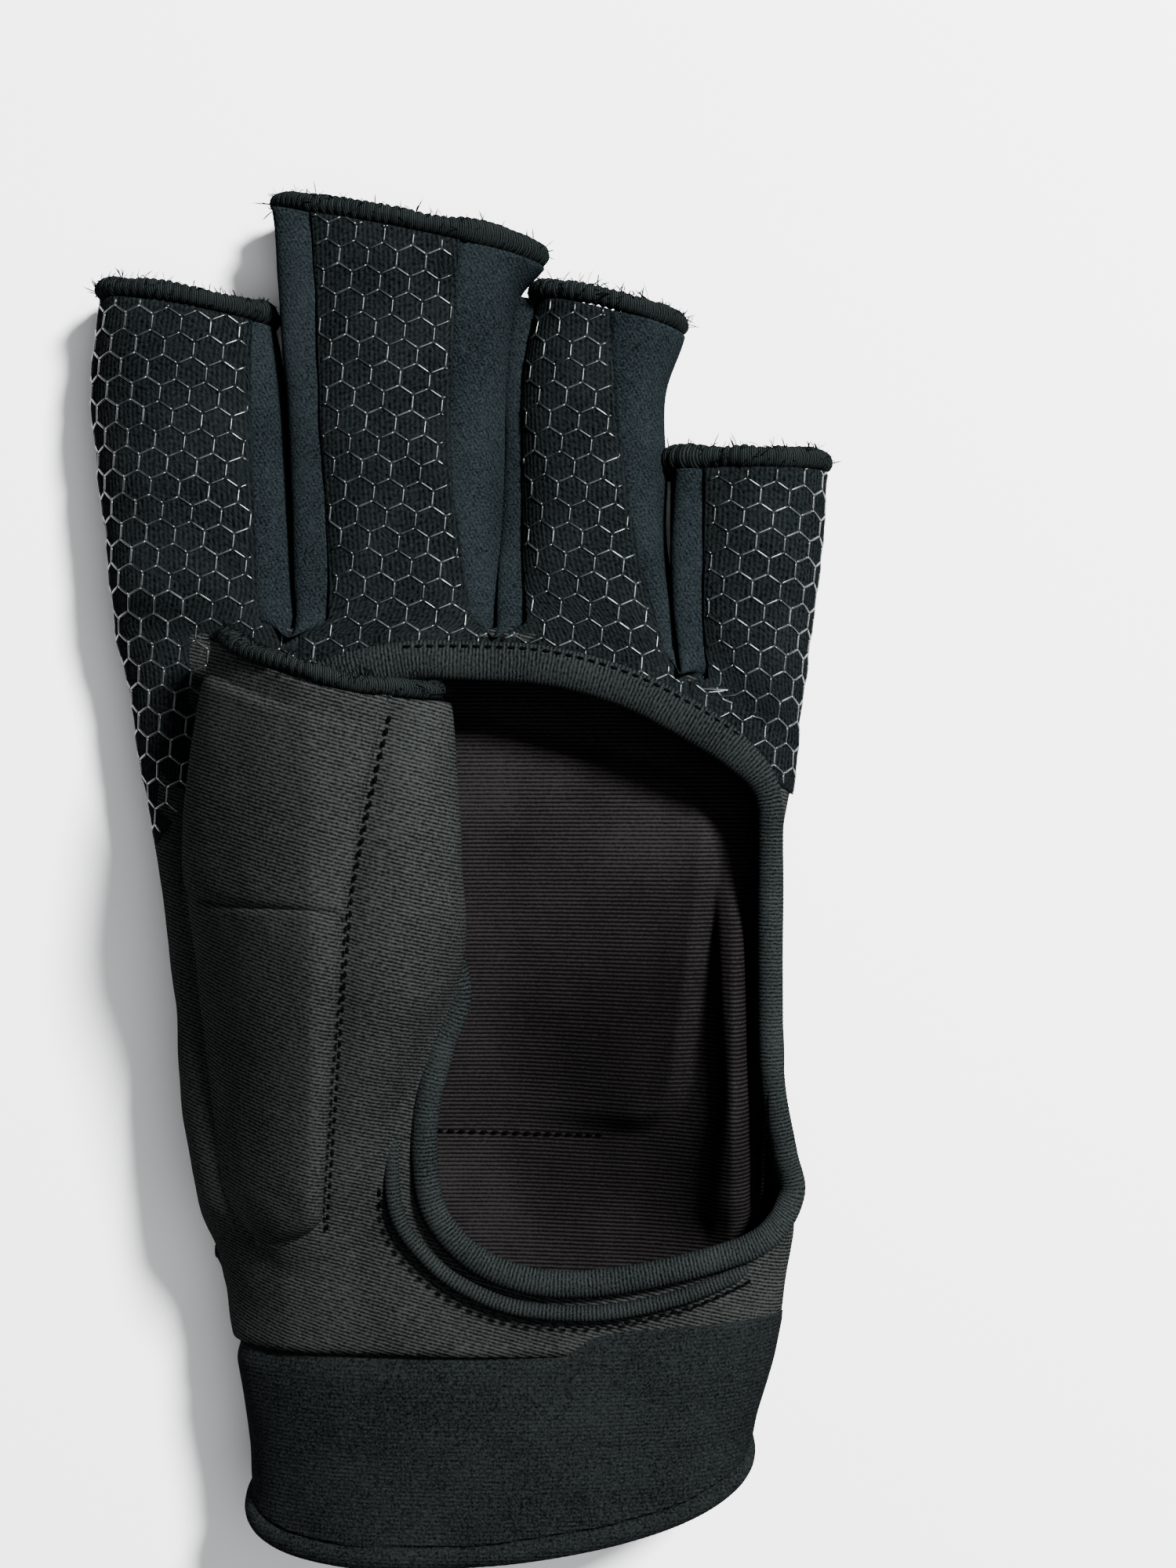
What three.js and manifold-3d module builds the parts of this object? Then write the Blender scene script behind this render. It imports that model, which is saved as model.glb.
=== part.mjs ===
// A left-hand field hockey glove with an open palm and half fingers, lying on its back, palm up.
// Millimetres, +Z up. +Y points along the fingers and -X is the thumb's side. The back rests on z = 0.
// Each tube of cloth is a table of cross-sections along Y. A panel is a sector of a tube's wall.
import * as THREE from "three";
import { mergeVertices } from "three/addons/utils/BufferGeometryUtils.js";
import Module from "manifold-3d";

const wasm = await Module();
wasm.setup();

// Driving dimensions
const GAP = 0.3; // clearance left between two sewn pieces
const KNIT = 1.3; // thin knit of the finger fronts and side strips
const PADDED = 2.4; // foam-backed knit of the hand and thumb
const FINGER_BACK = 2.6; // foam-backed knit behind each finger
const BAND = 2.2; // doubled knit of the wristband
const SIDE_SEAM_Z = 11; // height of the seam between the back of the hand and the palm side
const FINGER_DORSAL_SEAM = 30; // degrees below the widest point where a side strip meets a finger's back
const HEM_ROLL = { across: 1.7, along: 1.65 }; // half sizes of an overlocked edge
const WRIST_ROLL = { across: 1.9, along: 1.9 };
const THUMB_ROLL = { across: 1.45, along: 1.25 };
const BINDING_ROLL = { across: 2.2, up: 1.9 }; // half sizes of the rolled palm edge
const WELT_ROLL = { across: 1.2, up: 1.3 }; // half sizes of the narrow roll outside it
const CREST_EASE = 1.2; // above 1, the fall from a crest starts gently
const DEGREE = Math.PI / 180;

// The knuckle line, where the fingers start, drops away towards the little finger.
const KNUCKLE = { y: 36, bendsFrom: 6, fall: 0.0086 };
const knuckleDrop = (x) => KNUCKLE.fall * Math.max(0, x - KNUCKLE.bendsFrom) ** 2;

// Rows run from the wrist towards the fingertips. left, right, low and high are the outside of the
// cloth. power squares up the oval. follow, slope and lean shift a row's points in y: with the
// knuckle line, with x, and with z. frontLeft and frontRight are the x of a finger's front seams. bow
// curves a row forwards at both sides. fall is how far the top has dropped at the left side, from the
// x of its crest.
const PLAIN_ROW = { power: 2.4, follow: 0, slope: 0, lean: 0, bow: 0, crest: 0, fall: 0 };
const table = (rows) => rows.map((row) => ({ ...PLAIN_ROW, ...row }));

const HAND = table([
  { y: -69.0, left: -33.2, right: 47.6, low: -1.0, high: 30.0, power: 2.4, slope: 0.03 },
  { y: -60.6, left: -35.8, right: 48.6, low: -1.0, high: 31.0, power: 2.5 },
  { y: -51.2, left: -38.1, right: 49.8, low: -1.0, high: 31.0, power: 2.6 },
  { y: -36.0, left: -40.4, right: 48.8, low: -1.0, high: 29.5, power: 2.8 },
  { y: -18.0, left: -42.2, right: 48.2, low: -1.0, high: 27.5, power: 3.0, follow: 0.05 },
  { y: 0.3, left: -44.6, right: 48.2, low: -1.0, high: 24.5, power: 3.0, follow: 0.25 },
  { y: 14.4, left: -47.0, right: 48.4, low: -1.0, high: 21.5, power: 3.0, follow: 0.6 },
  { y: 27.0, left: -49.3, right: 49.9, low: -1.0, high: 20.0, power: 3.0, follow: 0.9 },
  { y: 35.7, left: -51.5, right: 50.8, low: -1.0, high: 19.0, power: 3.0, follow: 1 },
]);

const WRIST = table([
  { y: -87.6, left: -30.9, right: 43.6, low: -1.0, high: 29.0, power: 2.2, slope: 0.105, lean: -0.55 },
  { y: -81.0, left: -31.2, right: 45.0, low: -1.0, high: 29.5, power: 2.2, slope: 0.08, lean: -0.34 },
  { y: -75.0, left: -31.9, right: 46.4, low: -1.0, high: 30.0, power: 2.3, slope: 0.05, lean: -0.14 },
  { y: -69.3, left: -33.1, right: 47.5, low: -1.0, high: 30.0, power: 2.4, slope: 0.03 },
]);

const THUMB = table([
  { y: -56.0, left: -32.6, right: -12.0, low: 4.0, high: 30.0, power: 2.2,
    crest: -20.0, fall: 4.0, slope: 0, bow: 0 },
  { y: -46.0, left: -36.0, right: -9.0, low: 3.0, high: 34.5, power: 2.2,
    crest: -20.0, fall: 8.0, slope: 0, bow: 0 },
  { y: -35.0, left: -37.3, right: -7.5, low: 4.0, high: 38.5, power: 2.2,
    crest: -19.0, fall: 11.0, slope: 0, bow: 0 },
  { y: -24.0, left: -37.6, right: -3.4, low: 6.0, high: 42.0, power: 2.2,
    crest: -18.5, fall: 12.0, slope: 0, bow: 0 },
  { y: -12.0, left: -38.0, right: 0.8, low: 12.0, high: 45.0, power: 2.2,
    crest: -18.0, fall: 12.0, slope: 0, bow: 0 },
  { y: 3.4, left: -39.0, right: 0.3, low: 23.0, high: 47.0, power: 2.3,
    crest: -18.0, fall: 10.5, slope: 0, bow: 0 },
  { y: 15.0, left: -37.4, right: -0.2, low: 25.0, high: 47.5, power: 2.3,
    crest: -18.0, fall: 10.5, slope: -0.12, bow: 0.004 },
  { y: 26.4, left: -34.4, right: -1.2, low: 25.5, high: 46.5, power: 2.4,
    crest: -18.5, fall: 9.5, slope: -0.27, bow: 0.009 },
]);

const INDEX = table([
  { y: 36.0, left: -51.5, right: -23.4, low: -1.0, high: 19.0,
    frontLeft: -51, frontRight: -29, power: 2.9, follow: 1 },
  { y: 49.0, left: -52.9, right: -24.8, low: -1.0, high: 18.5,
    frontLeft: -52, frontRight: -30, power: 2.5 },
  { y: 61.0, left: -54.4, right: -26.0, low: -0.8, high: 18.0,
    frontLeft: -54, frontRight: -30.5, power: 2.3 },
  { y: 73.0, left: -55.2, right: -27.0, low: -0.6, high: 17.5,
    frontLeft: -55, frontRight: -31, power: 2.3 },
  { y: 83.6, left: -54.0, right: -28.6, low: -0.4, high: 17.5,
    frontLeft: -53, frontRight: -31, power: 2.3, slope: -0.17 },
]);

const MIDDLE = table([
  { y: 36.0, left: -22.6, right: 6.0, low: -1.0, high: 19.0,
    frontLeft: -18.6, frontRight: 2.2, power: 2.9, follow: 1 },
  { y: 48.3, left: -23.4, right: 6.4, low: -1.0, high: 19.0,
    frontLeft: -19, frontRight: 0.3, power: 2.5 },
  { y: 61.0, left: -24.8, right: 7.0, low: -1.0, high: 18.5,
    frontLeft: -19.8, frontRight: -1.2, power: 2.3 },
  { y: 75.0, left: -25.2, right: 7.4, low: -0.8, high: 18.0,
    frontLeft: -20.5, frontRight: -0.8, power: 2.3 },
  { y: 88.0, left: -26.0, right: 8.4, low: -0.6, high: 18.0,
    frontLeft: -21, frontRight: -0.2, power: 2.3, slope: -0.12 },
  { y: 94.7, left: -27.6, right: 12.2, low: -0.4, high: 18.0,
    frontLeft: -21.5, frontRight: 0.3, power: 2.3, slope: -0.2 },
]);

const RING = table([
  { y: 36.0, left: 6.8, right: 33.4, low: -1.0, high: 19.0,
    frontLeft: 10.5, frontRight: 31, power: 2.9, follow: 1 },
  { y: 49.0, left: 8.5, right: 30.9, low: -1.0, high: 18.5,
    frontLeft: 9.9, frontRight: 26.4, power: 2.4, follow: 0.3 },
  { y: 60.0, left: 8.4, right: 30.6, low: -0.8, high: 18.0,
    frontLeft: 9.8, frontRight: 24.6, power: 2.3 },
  { y: 72.0, left: 8.8, right: 30.6, low: -0.6, high: 17.5,
    frontLeft: 10, frontRight: 23.2, power: 2.3, slope: -0.08 },
  { y: 83.0, left: 11.4, right: 33.4, low: -0.4, high: 17.0,
    frontLeft: 11.8, frontRight: 22.6, power: 2.3, slope: -0.24 },
]);

const LITTLE = table([
  { y: 36.0, left: 34.3, right: 50.8, low: -1.0, high: 19.0,
    frontLeft: 37.2, frontRight: 49.8, power: 2.9, follow: 1 },
  { y: 42.0, left: 33.2, right: 52.2, low: -1.0, high: 18.5,
    frontLeft: 36.6, frontRight: 50.6, power: 2.4, follow: 0.6 },
  { y: 50.0, left: 32.4, right: 54.2, low: -0.8, high: 18.0,
    frontLeft: 36.6, frontRight: 52.6, power: 2.3, follow: 0.2 },
  { y: 59.6, left: 32.8, right: 55.2, low: -0.4, high: 17.5,
    frontLeft: 36.8, frontRight: 54, power: 2.3 },
]);

// The middle of the rolled edge, clockwise round the palm opening from under the thumb. It lies on the
// hand's surface.
const BINDING_ROUTE = [
  { x: -20.0, y: 26.9 },
  { x: -8.0, y: 30.2 },
  { x: 2.0, y: 30.3 },
  { x: 13.7, y: 29.5 },
  { x: 25.1, y: 26.3 },
  { x: 34.3, y: 21.6 },
  { x: 41.2, y: 17.0 },
  { x: 45.8, y: 11.5 },
  { x: 46.3, y: 2.0 },
  { x: 46.0, y: -14.0 },
  { x: 46.2, y: -30.0 },
  { x: 47.6, y: -41.0 },
  { x: 48.4, y: -47.5 },
  { x: 44.6, y: -52.8 },
  { x: 36.0, y: -55.6 },
  { x: 23.0, y: -57.9 },
  { x: 12.5, y: -58.0 },
  { x: 3.6, y: -54.8 },
  { x: -2.2, y: -48.6 },
  { x: -3.9, y: -41.0 },
  { x: -3.6, y: -33.0 },
  { x: -1.7, y: -25.0 },
  { x: 0.7, y: -16.0 },
  { x: -4.6, y: -4.0 },
  { x: -12.5, y: 8.0 },
  { x: -19.5, y: 19.0 },
];

// The narrow roll outside the binding, from the thumb's edge round the heel to the little finger's side.
const WELT_ROUTE = [
  { x: -2.2, y: -19.0 },
  { x: -4.8, y: -25.5 },
  { x: -7.2, y: -32.4 },
  { x: -8.5, y: -40.8 },
  { x: -7.8, y: -48.4 },
  { x: -4.1, y: -53.9 },
  { x: 1.1, y: -58.2 },
  { x: 9.4, y: -61.6 },
  { x: 21.0, y: -62.4 },
  { x: 33.0, y: -60.4 },
  { x: 42.6, y: -57.0 },
];
const ROLL_LIFT = 0.9; // height of a roll's middle over the hand's surface

// The foam pad that is sewn to the inside of the back, and seen through the open palm
const BACK_PAD = { left: -26, right: 37, wrist: -38.5, fingers: 24, corner: 9, height: 3, bevel: 1.4 };

// The two foam pads that wrap the thumb's outer side: y range, and the x of the seam at each end
const THUMB_PADS = [
  { name: "thumb_pad_upper", from: -2.6, to: 23.0, seamFrom: -13.1, seamTo: -7.7 },
  { name: "thumb_pad_lower", from: -50.5, to: -4.4, seamFrom: -18.5, seamTo: -12.9 },
];
const PAD = { height: 1.3, edge: 0.5, clearance: 0.7, backAngle: 184 };

// A row of a table at any y, on a smooth curve through the rows' values
function rowAt(rows, y) {
  const last = rows.length - 1;
  let i = 0;
  while (i < last - 1 && y > rows[i + 1].y) i++;
  const [a, b] = [rows[i], rows[i + 1]];
  const span = b.y - a.y;
  const t = Math.min(1, Math.max(0, (y - a.y) / span));
  const slopeOf = (k, key) => {
    const [before, after] = [rows[Math.max(0, k - 1)], rows[Math.min(last, k + 1)]];
    return ((after[key] - before[key]) / (after.y - before.y)) * span;
  };
  const mixed = {};
  for (const key of Object.keys(a)) {
    const [p, q, dp, dq] = [a[key], b[key], slopeOf(i, key), slopeOf(i + 1, key)];
    mixed[key] =
      (2 * t ** 3 - 3 * t ** 2 + 1) * p +
      (t ** 3 - 2 * t ** 2 + t) * dp +
      (-2 * t ** 3 + 3 * t ** 2) * q +
      (t ** 3 - t ** 2) * dq;
  }
  mixed.y = y;
  return mixed;
}

// A point of a row's oval, inset into the cloth. The angle turns from +X up over the top.
function ovalPoint(row, angle, inset) {
  const midX = (row.left + row.right) / 2;
  const midZ = (row.low + row.high) / 2;
  const curve = (v) => Math.sign(v) * Math.abs(v) ** (2 / row.power);
  const x = midX + ((row.right - row.left) / 2 - inset) * curve(Math.cos(angle));
  const flat = Math.max(0, inset); // the back lies flat on the surface
  const halfZ = (row.high - row.low) / 2;
  const z = Math.max(flat, midZ + (halfZ - inset) * curve(Math.sin(angle)));
  const beyond = Math.max(0, (row.crest - x) / (row.crest - row.left));
  const raised = Math.min(1, Math.max(0, (z - row.low) / halfZ)); // the underside stays where it is
  const drop = row.fall * beyond ** CREST_EASE * raised;
  const shift = row.slope * (x - midX) + row.bow * (x - midX) ** 2 + row.lean * (z - midZ);
  return new THREE.Vector3(x, row.y + shift - row.follow * knuckleDrop(x), z - drop);
}

// The angle at which a row's oval passes over a given x, on its upper side
function angleOver(row, x) {
  const offset = (x - (row.left + row.right) / 2) / ((row.right - row.left) / 2);
  return Math.acos(Math.sign(offset) * Math.min(1, Math.abs(offset)) ** (row.power / 2));
}

// The height of a tube's upper surface over a point
function surfaceZ(rows, x, y) {
  let row = rowAt(rows, y);
  for (let i = 0; i < 4; i++) row = rowAt(rows, y + row.follow * knuckleDrop(x));
  return ovalPoint(row, angleOver(row, x), 0).z;
}

const spread = (from, to, steps) =>
  Array.from({ length: steps + 1 }, (_, i) => from + ((to - from) * i) / steps);

// Skins a grid of point loops: around closes each row on itself, along closes the last row on the first.
function skin(grid, { around, along, caps = false }) {
  const [rows, columns] = [grid.length, grid[0].length];
  const points = grid.flat();
  const index = [];
  for (let i = 0; i < (along ? rows : rows - 1); i++) {
    for (let j = 0; j < (around ? columns : columns - 1); j++) {
      const [a, b] = [i * columns + j, i * columns + ((j + 1) % columns)];
      const [c, d] = [((i + 1) % rows) * columns + j, ((i + 1) % rows) * columns + ((j + 1) % columns)];
      index.push(a, b, d, a, d, c);
    }
  }
  if (caps) {
    // Each row's first half is its outer side and its second half, reversed, its inner side.
    const half = columns / 2;
    for (const [start, flip] of [[0, true], [(rows - 1) * columns, false]]) {
      for (let j = 0; j < half - 1; j++) {
        const [a, b] = [start + j, start + j + 1];
        const [c, d] = [start + columns - 1 - j, start + columns - 2 - j];
        index.push(...(flip ? [a, d, b, a, c, d] : [a, b, d, a, d, c]));
      }
    }
  }
  const geometry = new THREE.BufferGeometry().setFromPoints(points);
  geometry.setIndex(index);
  return facingOut(geometry);
}

// Turns a closed geometry's faces round if they point inwards
function facingOut(geometry) {
  const at = geometry.attributes.position;
  const index = geometry.index.array;
  const [a, b, c] = [new THREE.Vector3(), new THREE.Vector3(), new THREE.Vector3()];
  let volume = 0;
  for (let i = 0; i < index.length; i += 3) {
    a.fromBufferAttribute(at, index[i]);
    b.fromBufferAttribute(at, index[i + 1]);
    c.fromBufferAttribute(at, index[i + 2]);
    volume += a.dot(b.cross(c));
  }
  if (volume < 0) {
    for (let i = 0; i < index.length; i += 3) {
      [index[i + 1], index[i + 2]] = [index[i + 2], index[i + 1]];
    }
  }
  return geometry;
}

// A closed solid between an outer and an inner sheet of points, both rows by columns
const thickSheet = (outer, inner) =>
  skin(
    outer.map((row, i) => [...row, ...[...inner[i]].reverse()]),
    { around: true, along: false, caps: true },
  );

// A whole ring of wall: the outer and inner skins joined at both ends
function ringWall(rows, { from, to, steps, sides, inset = 0, thickness }) {
  const angles = spread(0, 2 * Math.PI, sides).slice(0, -1);
  const loop = (y, depth) => angles.map((angle) => ovalPoint(rowAt(rows, y), angle, depth));
  const stations = spread(from, to, steps);
  const outside = stations.map((y) => loop(y, inset));
  const inside = stations.map((y) => loop(y, inset + thickness)).reverse();
  return skin([...outside, ...inside], { around: true, along: true });
}

// A solid plug of a tube, inset into its cloth, for joining and cutting
function plug(rows, { from, to, steps, sides, inset }) {
  const angles = spread(0, 2 * Math.PI, sides).slice(0, -1);
  const stations = spread(from, to, steps);
  const loops = stations.map((y) => angles.map((angle) => ovalPoint(rowAt(rows, y), angle, inset)));
  const middle = (loop) => loop.reduce((sum, p) => sum.add(p), new THREE.Vector3()).divideScalar(loop.length);
  const pinched = (loop) => loop.map(() => middle(loop));
  const grid = [pinched(loops[0]), ...loops, pinched(loops[loops.length - 1])];
  return skin(grid, { around: true, along: false });
}

// A roll of cloth along a route of points, with an oval section that is across wide and up high
function roll(route, { across, up, closed, steps, sides }) {
  const curve = new THREE.CatmullRomCurve3(
    route.map((p) => new THREE.Vector3(p.x, p.y, surfaceZ(HAND, p.x, p.y) + ROLL_LIFT)),
    closed,
  );
  const stations = spread(0, 1, steps).slice(0, closed ? -1 : undefined);
  const upward = new THREE.Vector3(0, 0, 1);
  const grid = stations.map((t, i) => {
    const centre = curve.getPointAt(t);
    const sideways = curve.getTangentAt(t).cross(upward).normalize();
    const isEnd = !closed && (i === 0 || i === stations.length - 1);
    return spread(0, 2 * Math.PI, sides).slice(0, -1).map((angle) =>
      centre.clone()
        .addScaledVector(sideways, isEnd ? 0 : across * Math.cos(angle))
        .addScaledVector(upward, isEnd ? 0 : up * Math.sin(angle)),
    );
  });
  return skin(grid, { around: true, along: closed });
}

// Solids for joining and cutting
function solid(geometry) {
  const bare = new THREE.BufferGeometry().setAttribute("position", geometry.getAttribute("position"));
  bare.setIndex(geometry.index);
  const merged = mergeVertices(bare, 1e-4);
  const index = [];
  for (let i = 0; i < merged.index.count; i += 3) {
    const face = [merged.index.getX(i), merged.index.getX(i + 1), merged.index.getX(i + 2)];
    if (new Set(face).size === 3) index.push(...face);
  }
  return new wasm.Manifold(
    new wasm.Mesh({
      numProp: 3,
      vertProperties: merged.attributes.position.array,
      triVerts: new Uint32Array(index),
    }),
  );
}

function geometryOf(made) {
  const tidy = made.simplify(0.1);
  const bodies = tidy.decompose().sort((a, b) => b.volume() - a.volume());
  const mesh = bodies[0].getMesh();
  const geometry = new THREE.BufferGeometry();
  geometry.setAttribute("position", new THREE.BufferAttribute(mesh.vertProperties, 3));
  geometry.setIndex(new THREE.BufferAttribute(mesh.triVerts, 1));
  return geometry;
}

const cloth = (colour, roughness) =>
  new THREE.MeshStandardMaterial({ color: colour, roughness, metalness: 0 });
const MATERIAL = {
  printedKnit: cloth(0x17191b, 0.75),
  sideKnit: cloth(0x141a1f, 0.85),
  paddedKnit: cloth(0x1a1a1a, 0.8),
  liningKnit: cloth(0x161415, 0.7),
  binding: cloth(0x141b1f, 0.8),
  thread: cloth(0x121414, 0.9),
};

const glove = new THREE.Group();
function add(name, geometry, material) {
  const mesh = new THREE.Mesh(geometry, material);
  mesh.name = name;
  glove.add(mesh);
}

// Rolled palm edge and the narrow welt outside it
const bindingSize = { ...BINDING_ROLL, closed: true, steps: 60, sides: 8 };
const weltSize = { ...WELT_ROLL, closed: false, steps: 36, sides: 6 };
const grown = (size) => ({ ...size, across: size.across + GAP, up: size.up + GAP });
const binding = solid(roll(BINDING_ROUTE, bindingSize));
const bindingRoom = solid(roll(BINDING_ROUTE, grown(bindingSize)));
const welt = solid(roll(WELT_ROUTE, weltSize)).subtract(bindingRoom);
const weltRoom = solid(roll(WELT_ROUTE, grown(weltSize)));
add("palm_binding", geometryOf(binding), MATERIAL.binding);
add("palm_binding_welt", geometryOf(welt), MATERIAL.binding);

// Hand and thumb: two tubes joined, hollowed together, and cut open at the palm
const HAND_SPAN = { from: HAND[0].y, to: HAND.at(-1).y, steps: 12, sides: 36 };
const THUMB_SPAN = { from: THUMB[0].y, to: THUMB.at(-1).y, steps: 9, sides: 24 };
const BEYOND = 4; // how far a hollow runs past the open end of its tube

function stretched(rows, ends) {
  const made = rows.map((row) => ({ ...row }));
  if (ends.includes("wrist")) made[0].y -= BEYOND;
  if (ends.includes("fingers")) made.at(-1).y += BEYOND;
  return made;
}

function hollow(rows, span, ends) {
  const longer = stretched(rows, ends);
  return solid(plug(longer, { ...span, from: longer[0].y, to: longer.at(-1).y, inset: PADDED }));
}

const handBody = solid(plug(HAND, { ...HAND_SPAN, inset: 0 }));
const thumbBody = solid(plug(THUMB, { ...THUMB_SPAN, inset: 0 }));
const handHollow = hollow(HAND, HAND_SPAN, ["wrist", "fingers"]);
const thumbHollow = hollow(THUMB, THUMB_SPAN, ["fingers"]);

// The palm opening as an upright prism, from above the pad to above the thumb
const OPENING = { low: 14, high: 60, outlineSteps: 48 };
function openingPrism() {
  const curve = new THREE.CatmullRomCurve3(
    BINDING_ROUTE.map((p) => new THREE.Vector3(p.x, p.y, 0)),
    true,
  );
  const outline = curve.getSpacedPoints(OPENING.outlineSteps).slice(0, -1);
  const shape = new THREE.Shape(outline.map((p) => new THREE.Vector2(p.x, p.y)));
  const prism = new THREE.ExtrudeGeometry(shape, { depth: OPENING.high - OPENING.low, bevelEnabled: false });
  prism.translate(0, 0, OPENING.low);
  prism.deleteAttribute("normal");
  prism.deleteAttribute("uv");
  return solid(facingOut(mergeVertices(prism, 1e-4)));
}

const handWall = handBody.subtract(handHollow).subtract(openingPrism());
const thumbWall = thumbBody.subtract(thumbHollow);
const shell = handWall
  .subtract(thumbHollow)
  .add(thumbWall.subtract(handHollow))
  .subtract(bindingRoom)
  .subtract(weltRoom);

// The side seam splits the shell into the padded back and the palm side.
function slab(low, high) {
  const size = 400;
  const box = new THREE.BoxGeometry(size, size, high - low).translate(0, 0, (low + high) / 2);
  box.deleteAttribute("normal");
  box.deleteAttribute("uv");
  return solid(mergeVertices(box, 1e-4));
}
add("hand_back", geometryOf(shell.intersect(slab(-10, SIDE_SEAM_Z))), MATERIAL.paddedKnit);
add("palm_and_thumb", geometryOf(shell.intersect(slab(SIDE_SEAM_Z + GAP, 90))), MATERIAL.paddedKnit);

// Foam pad inside the back: a rounded block with a bevelled rim
function backPad() {
  const { left, right, wrist, fingers, corner, height, bevel } = BACK_PAD;
  const [x0, x1, y0, y1] = [left + bevel, right - bevel, wrist + bevel, fingers - bevel];
  const shape = new THREE.Shape();
  shape.moveTo(x0 + corner, y0);
  shape.lineTo(x1 - corner, y0);
  shape.quadraticCurveTo(x1, y0, x1, y0 + corner);
  shape.lineTo(x1, y1 - 2 * corner);
  shape.quadraticCurveTo(x1, y1 - corner, x1 - corner, y1);
  shape.lineTo(x0 + corner, y1);
  shape.quadraticCurveTo(x0, y1, x0, y1 - corner);
  shape.lineTo(x0, y0 + corner);
  shape.quadraticCurveTo(x0, y0, x0 + corner, y0);
  const pad = new THREE.ExtrudeGeometry(shape, {
    depth: height - bevel,
    bevelSize: bevel,
    bevelThickness: bevel / 2,
    bevelSegments: 1,
    curveSegments: 3,
  });
  pad.translate(0, 0, PADDED + GAP + bevel / 2);
  pad.deleteAttribute("normal");
  pad.deleteAttribute("uv");
  const inside = solid(plug(HAND, { ...HAND_SPAN, inset: PADDED + GAP }));
  return geometryOf(solid(facingOut(mergeVertices(pad, 1e-4))).intersect(inside));
}
add("back_pad", backPad(), MATERIAL.liningKnit);

// Thumb pads: sheets on the outside of the thumb, thinner at their rims
const handRoom = solid(plug(HAND, { ...HAND_SPAN, inset: -GAP }));
for (const { name, from, to, seamFrom, seamTo } of THUMB_PADS) {
  const [steps, columns] = [6, 10];
  const sheetAt = (raised) =>
    spread(0, 1, steps).map((u) => {
      const row = rowAt(THUMB, from + (to - from) * u);
      const start = angleOver(row, seamFrom + (seamTo - seamFrom) * u);
      return spread(0, 1, columns).map((v) => {
        const rim = Math.min(1, 6 * Math.min(u, 1 - u, v, 1 - v));
        const lift = PAD.clearance + (raised ? PAD.edge + (PAD.height - PAD.edge) * rim : 0);
        return ovalPoint(row, start + (PAD.backAngle * DEGREE - start) * v, -lift);
      });
    });
  const pad = solid(thickSheet(sheetAt(true), sheetAt(false)));
  add(name, geometryOf(pad.subtract(handRoom)), MATERIAL.paddedKnit);
}

// Wristband and its hem
add(
  "wristband",
  ringWall(WRIST, { from: WRIST[0].y, to: WRIST.at(-1).y, steps: 4, sides: 36, thickness: BAND }),
  MATERIAL.paddedKnit,
);

// An overlocked edge: a roll round the open end of a tube
function hem(row, { across, along }, thickness, direction, sides) {
  const centre = { ...row, y: row.y + direction * (along + GAP) };
  const grid = spread(0, 2 * Math.PI, sides).slice(0, -1).map((angle) =>
    spread(0, 2 * Math.PI, 6).slice(0, -1).map((turn) => {
      const depth = thickness / 2 - across * Math.cos(turn);
      const point = ovalPoint(centre, angle, depth);
      point.y += along * Math.sin(turn);
      return point;
    }),
  );
  return skin(grid, { around: true, along: true });
}
add("wrist_hem", hem(WRIST[0], WRIST_ROLL, BAND, -1, 36), MATERIAL.binding);
add("thumb_hem", hem(THUMB.at(-1), THUMB_ROLL, PADDED, 1, 24), MATERIAL.thread);

// Finger fronts and backs
const FINGERS = [
  { name: "index", rows: INDEX, outerLeft: true },
  { name: "middle", rows: MIDDLE },
  { name: "ring", rows: RING },
  { name: "little", rows: LITTLE, outerRight: true },
];
const FINGER_STEPS = 6;
const dorsal = { right: -FINGER_DORSAL_SEAM * DEGREE, left: (180 + FINGER_DORSAL_SEAM) * DEGREE };

// Half the gap between two panels, as an angle on a row's oval
const halfGap = (row) => GAP / (row.right - row.left);

// Angles where a finger's pieces meet at a row, from the right dorsal seam over the front to the left one
function seams(finger, row) {
  return {
    right: finger.outerRight ? dorsal.right : angleOver(row, row.frontRight),
    left: finger.outerLeft ? dorsal.left : angleOver(row, row.frontLeft),
  };
}

const stationsOf = (rows, above = 0) =>
  spread(rows[0].y + above, rows.at(-1).y, FINGER_STEPS).map((y) => rowAt(rows, y));

function sector(rows, anglesOf, columns, thickness) {
  const sheetAt = (inset) =>
    rows.map((row) => {
      const [from, to] = anglesOf(row);
      const slack = 2 * halfGap(row);
      return spread(from + slack, to - slack, columns).map((angle) => ovalPoint(row, angle, inset));
    });
  return thickSheet(sheetAt(0), sheetAt(thickness));
}

for (const finger of FINGERS) {
  const rows = stationsOf(finger.rows);
  const front = sector(
    rows,
    (row) => [seams(finger, row).right, seams(finger, row).left],
    finger.outerLeft || finger.outerRight ? 9 : 6,
    KNIT,
  );
  const back = sector(rows, () => [dorsal.left, dorsal.right + 2 * Math.PI], 6, FINGER_BACK);
  add(`${finger.name}_front`, geometryOf(solid(front).subtract(bindingRoom)), MATERIAL.printedKnit);
  add(`${finger.name}_back`, back, MATERIAL.sideKnit);
  add(`${finger.name}_hem`, hem(finger.rows.at(-1), HEM_ROLL, KNIT, 1, 20), MATERIAL.thread);
}

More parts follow.
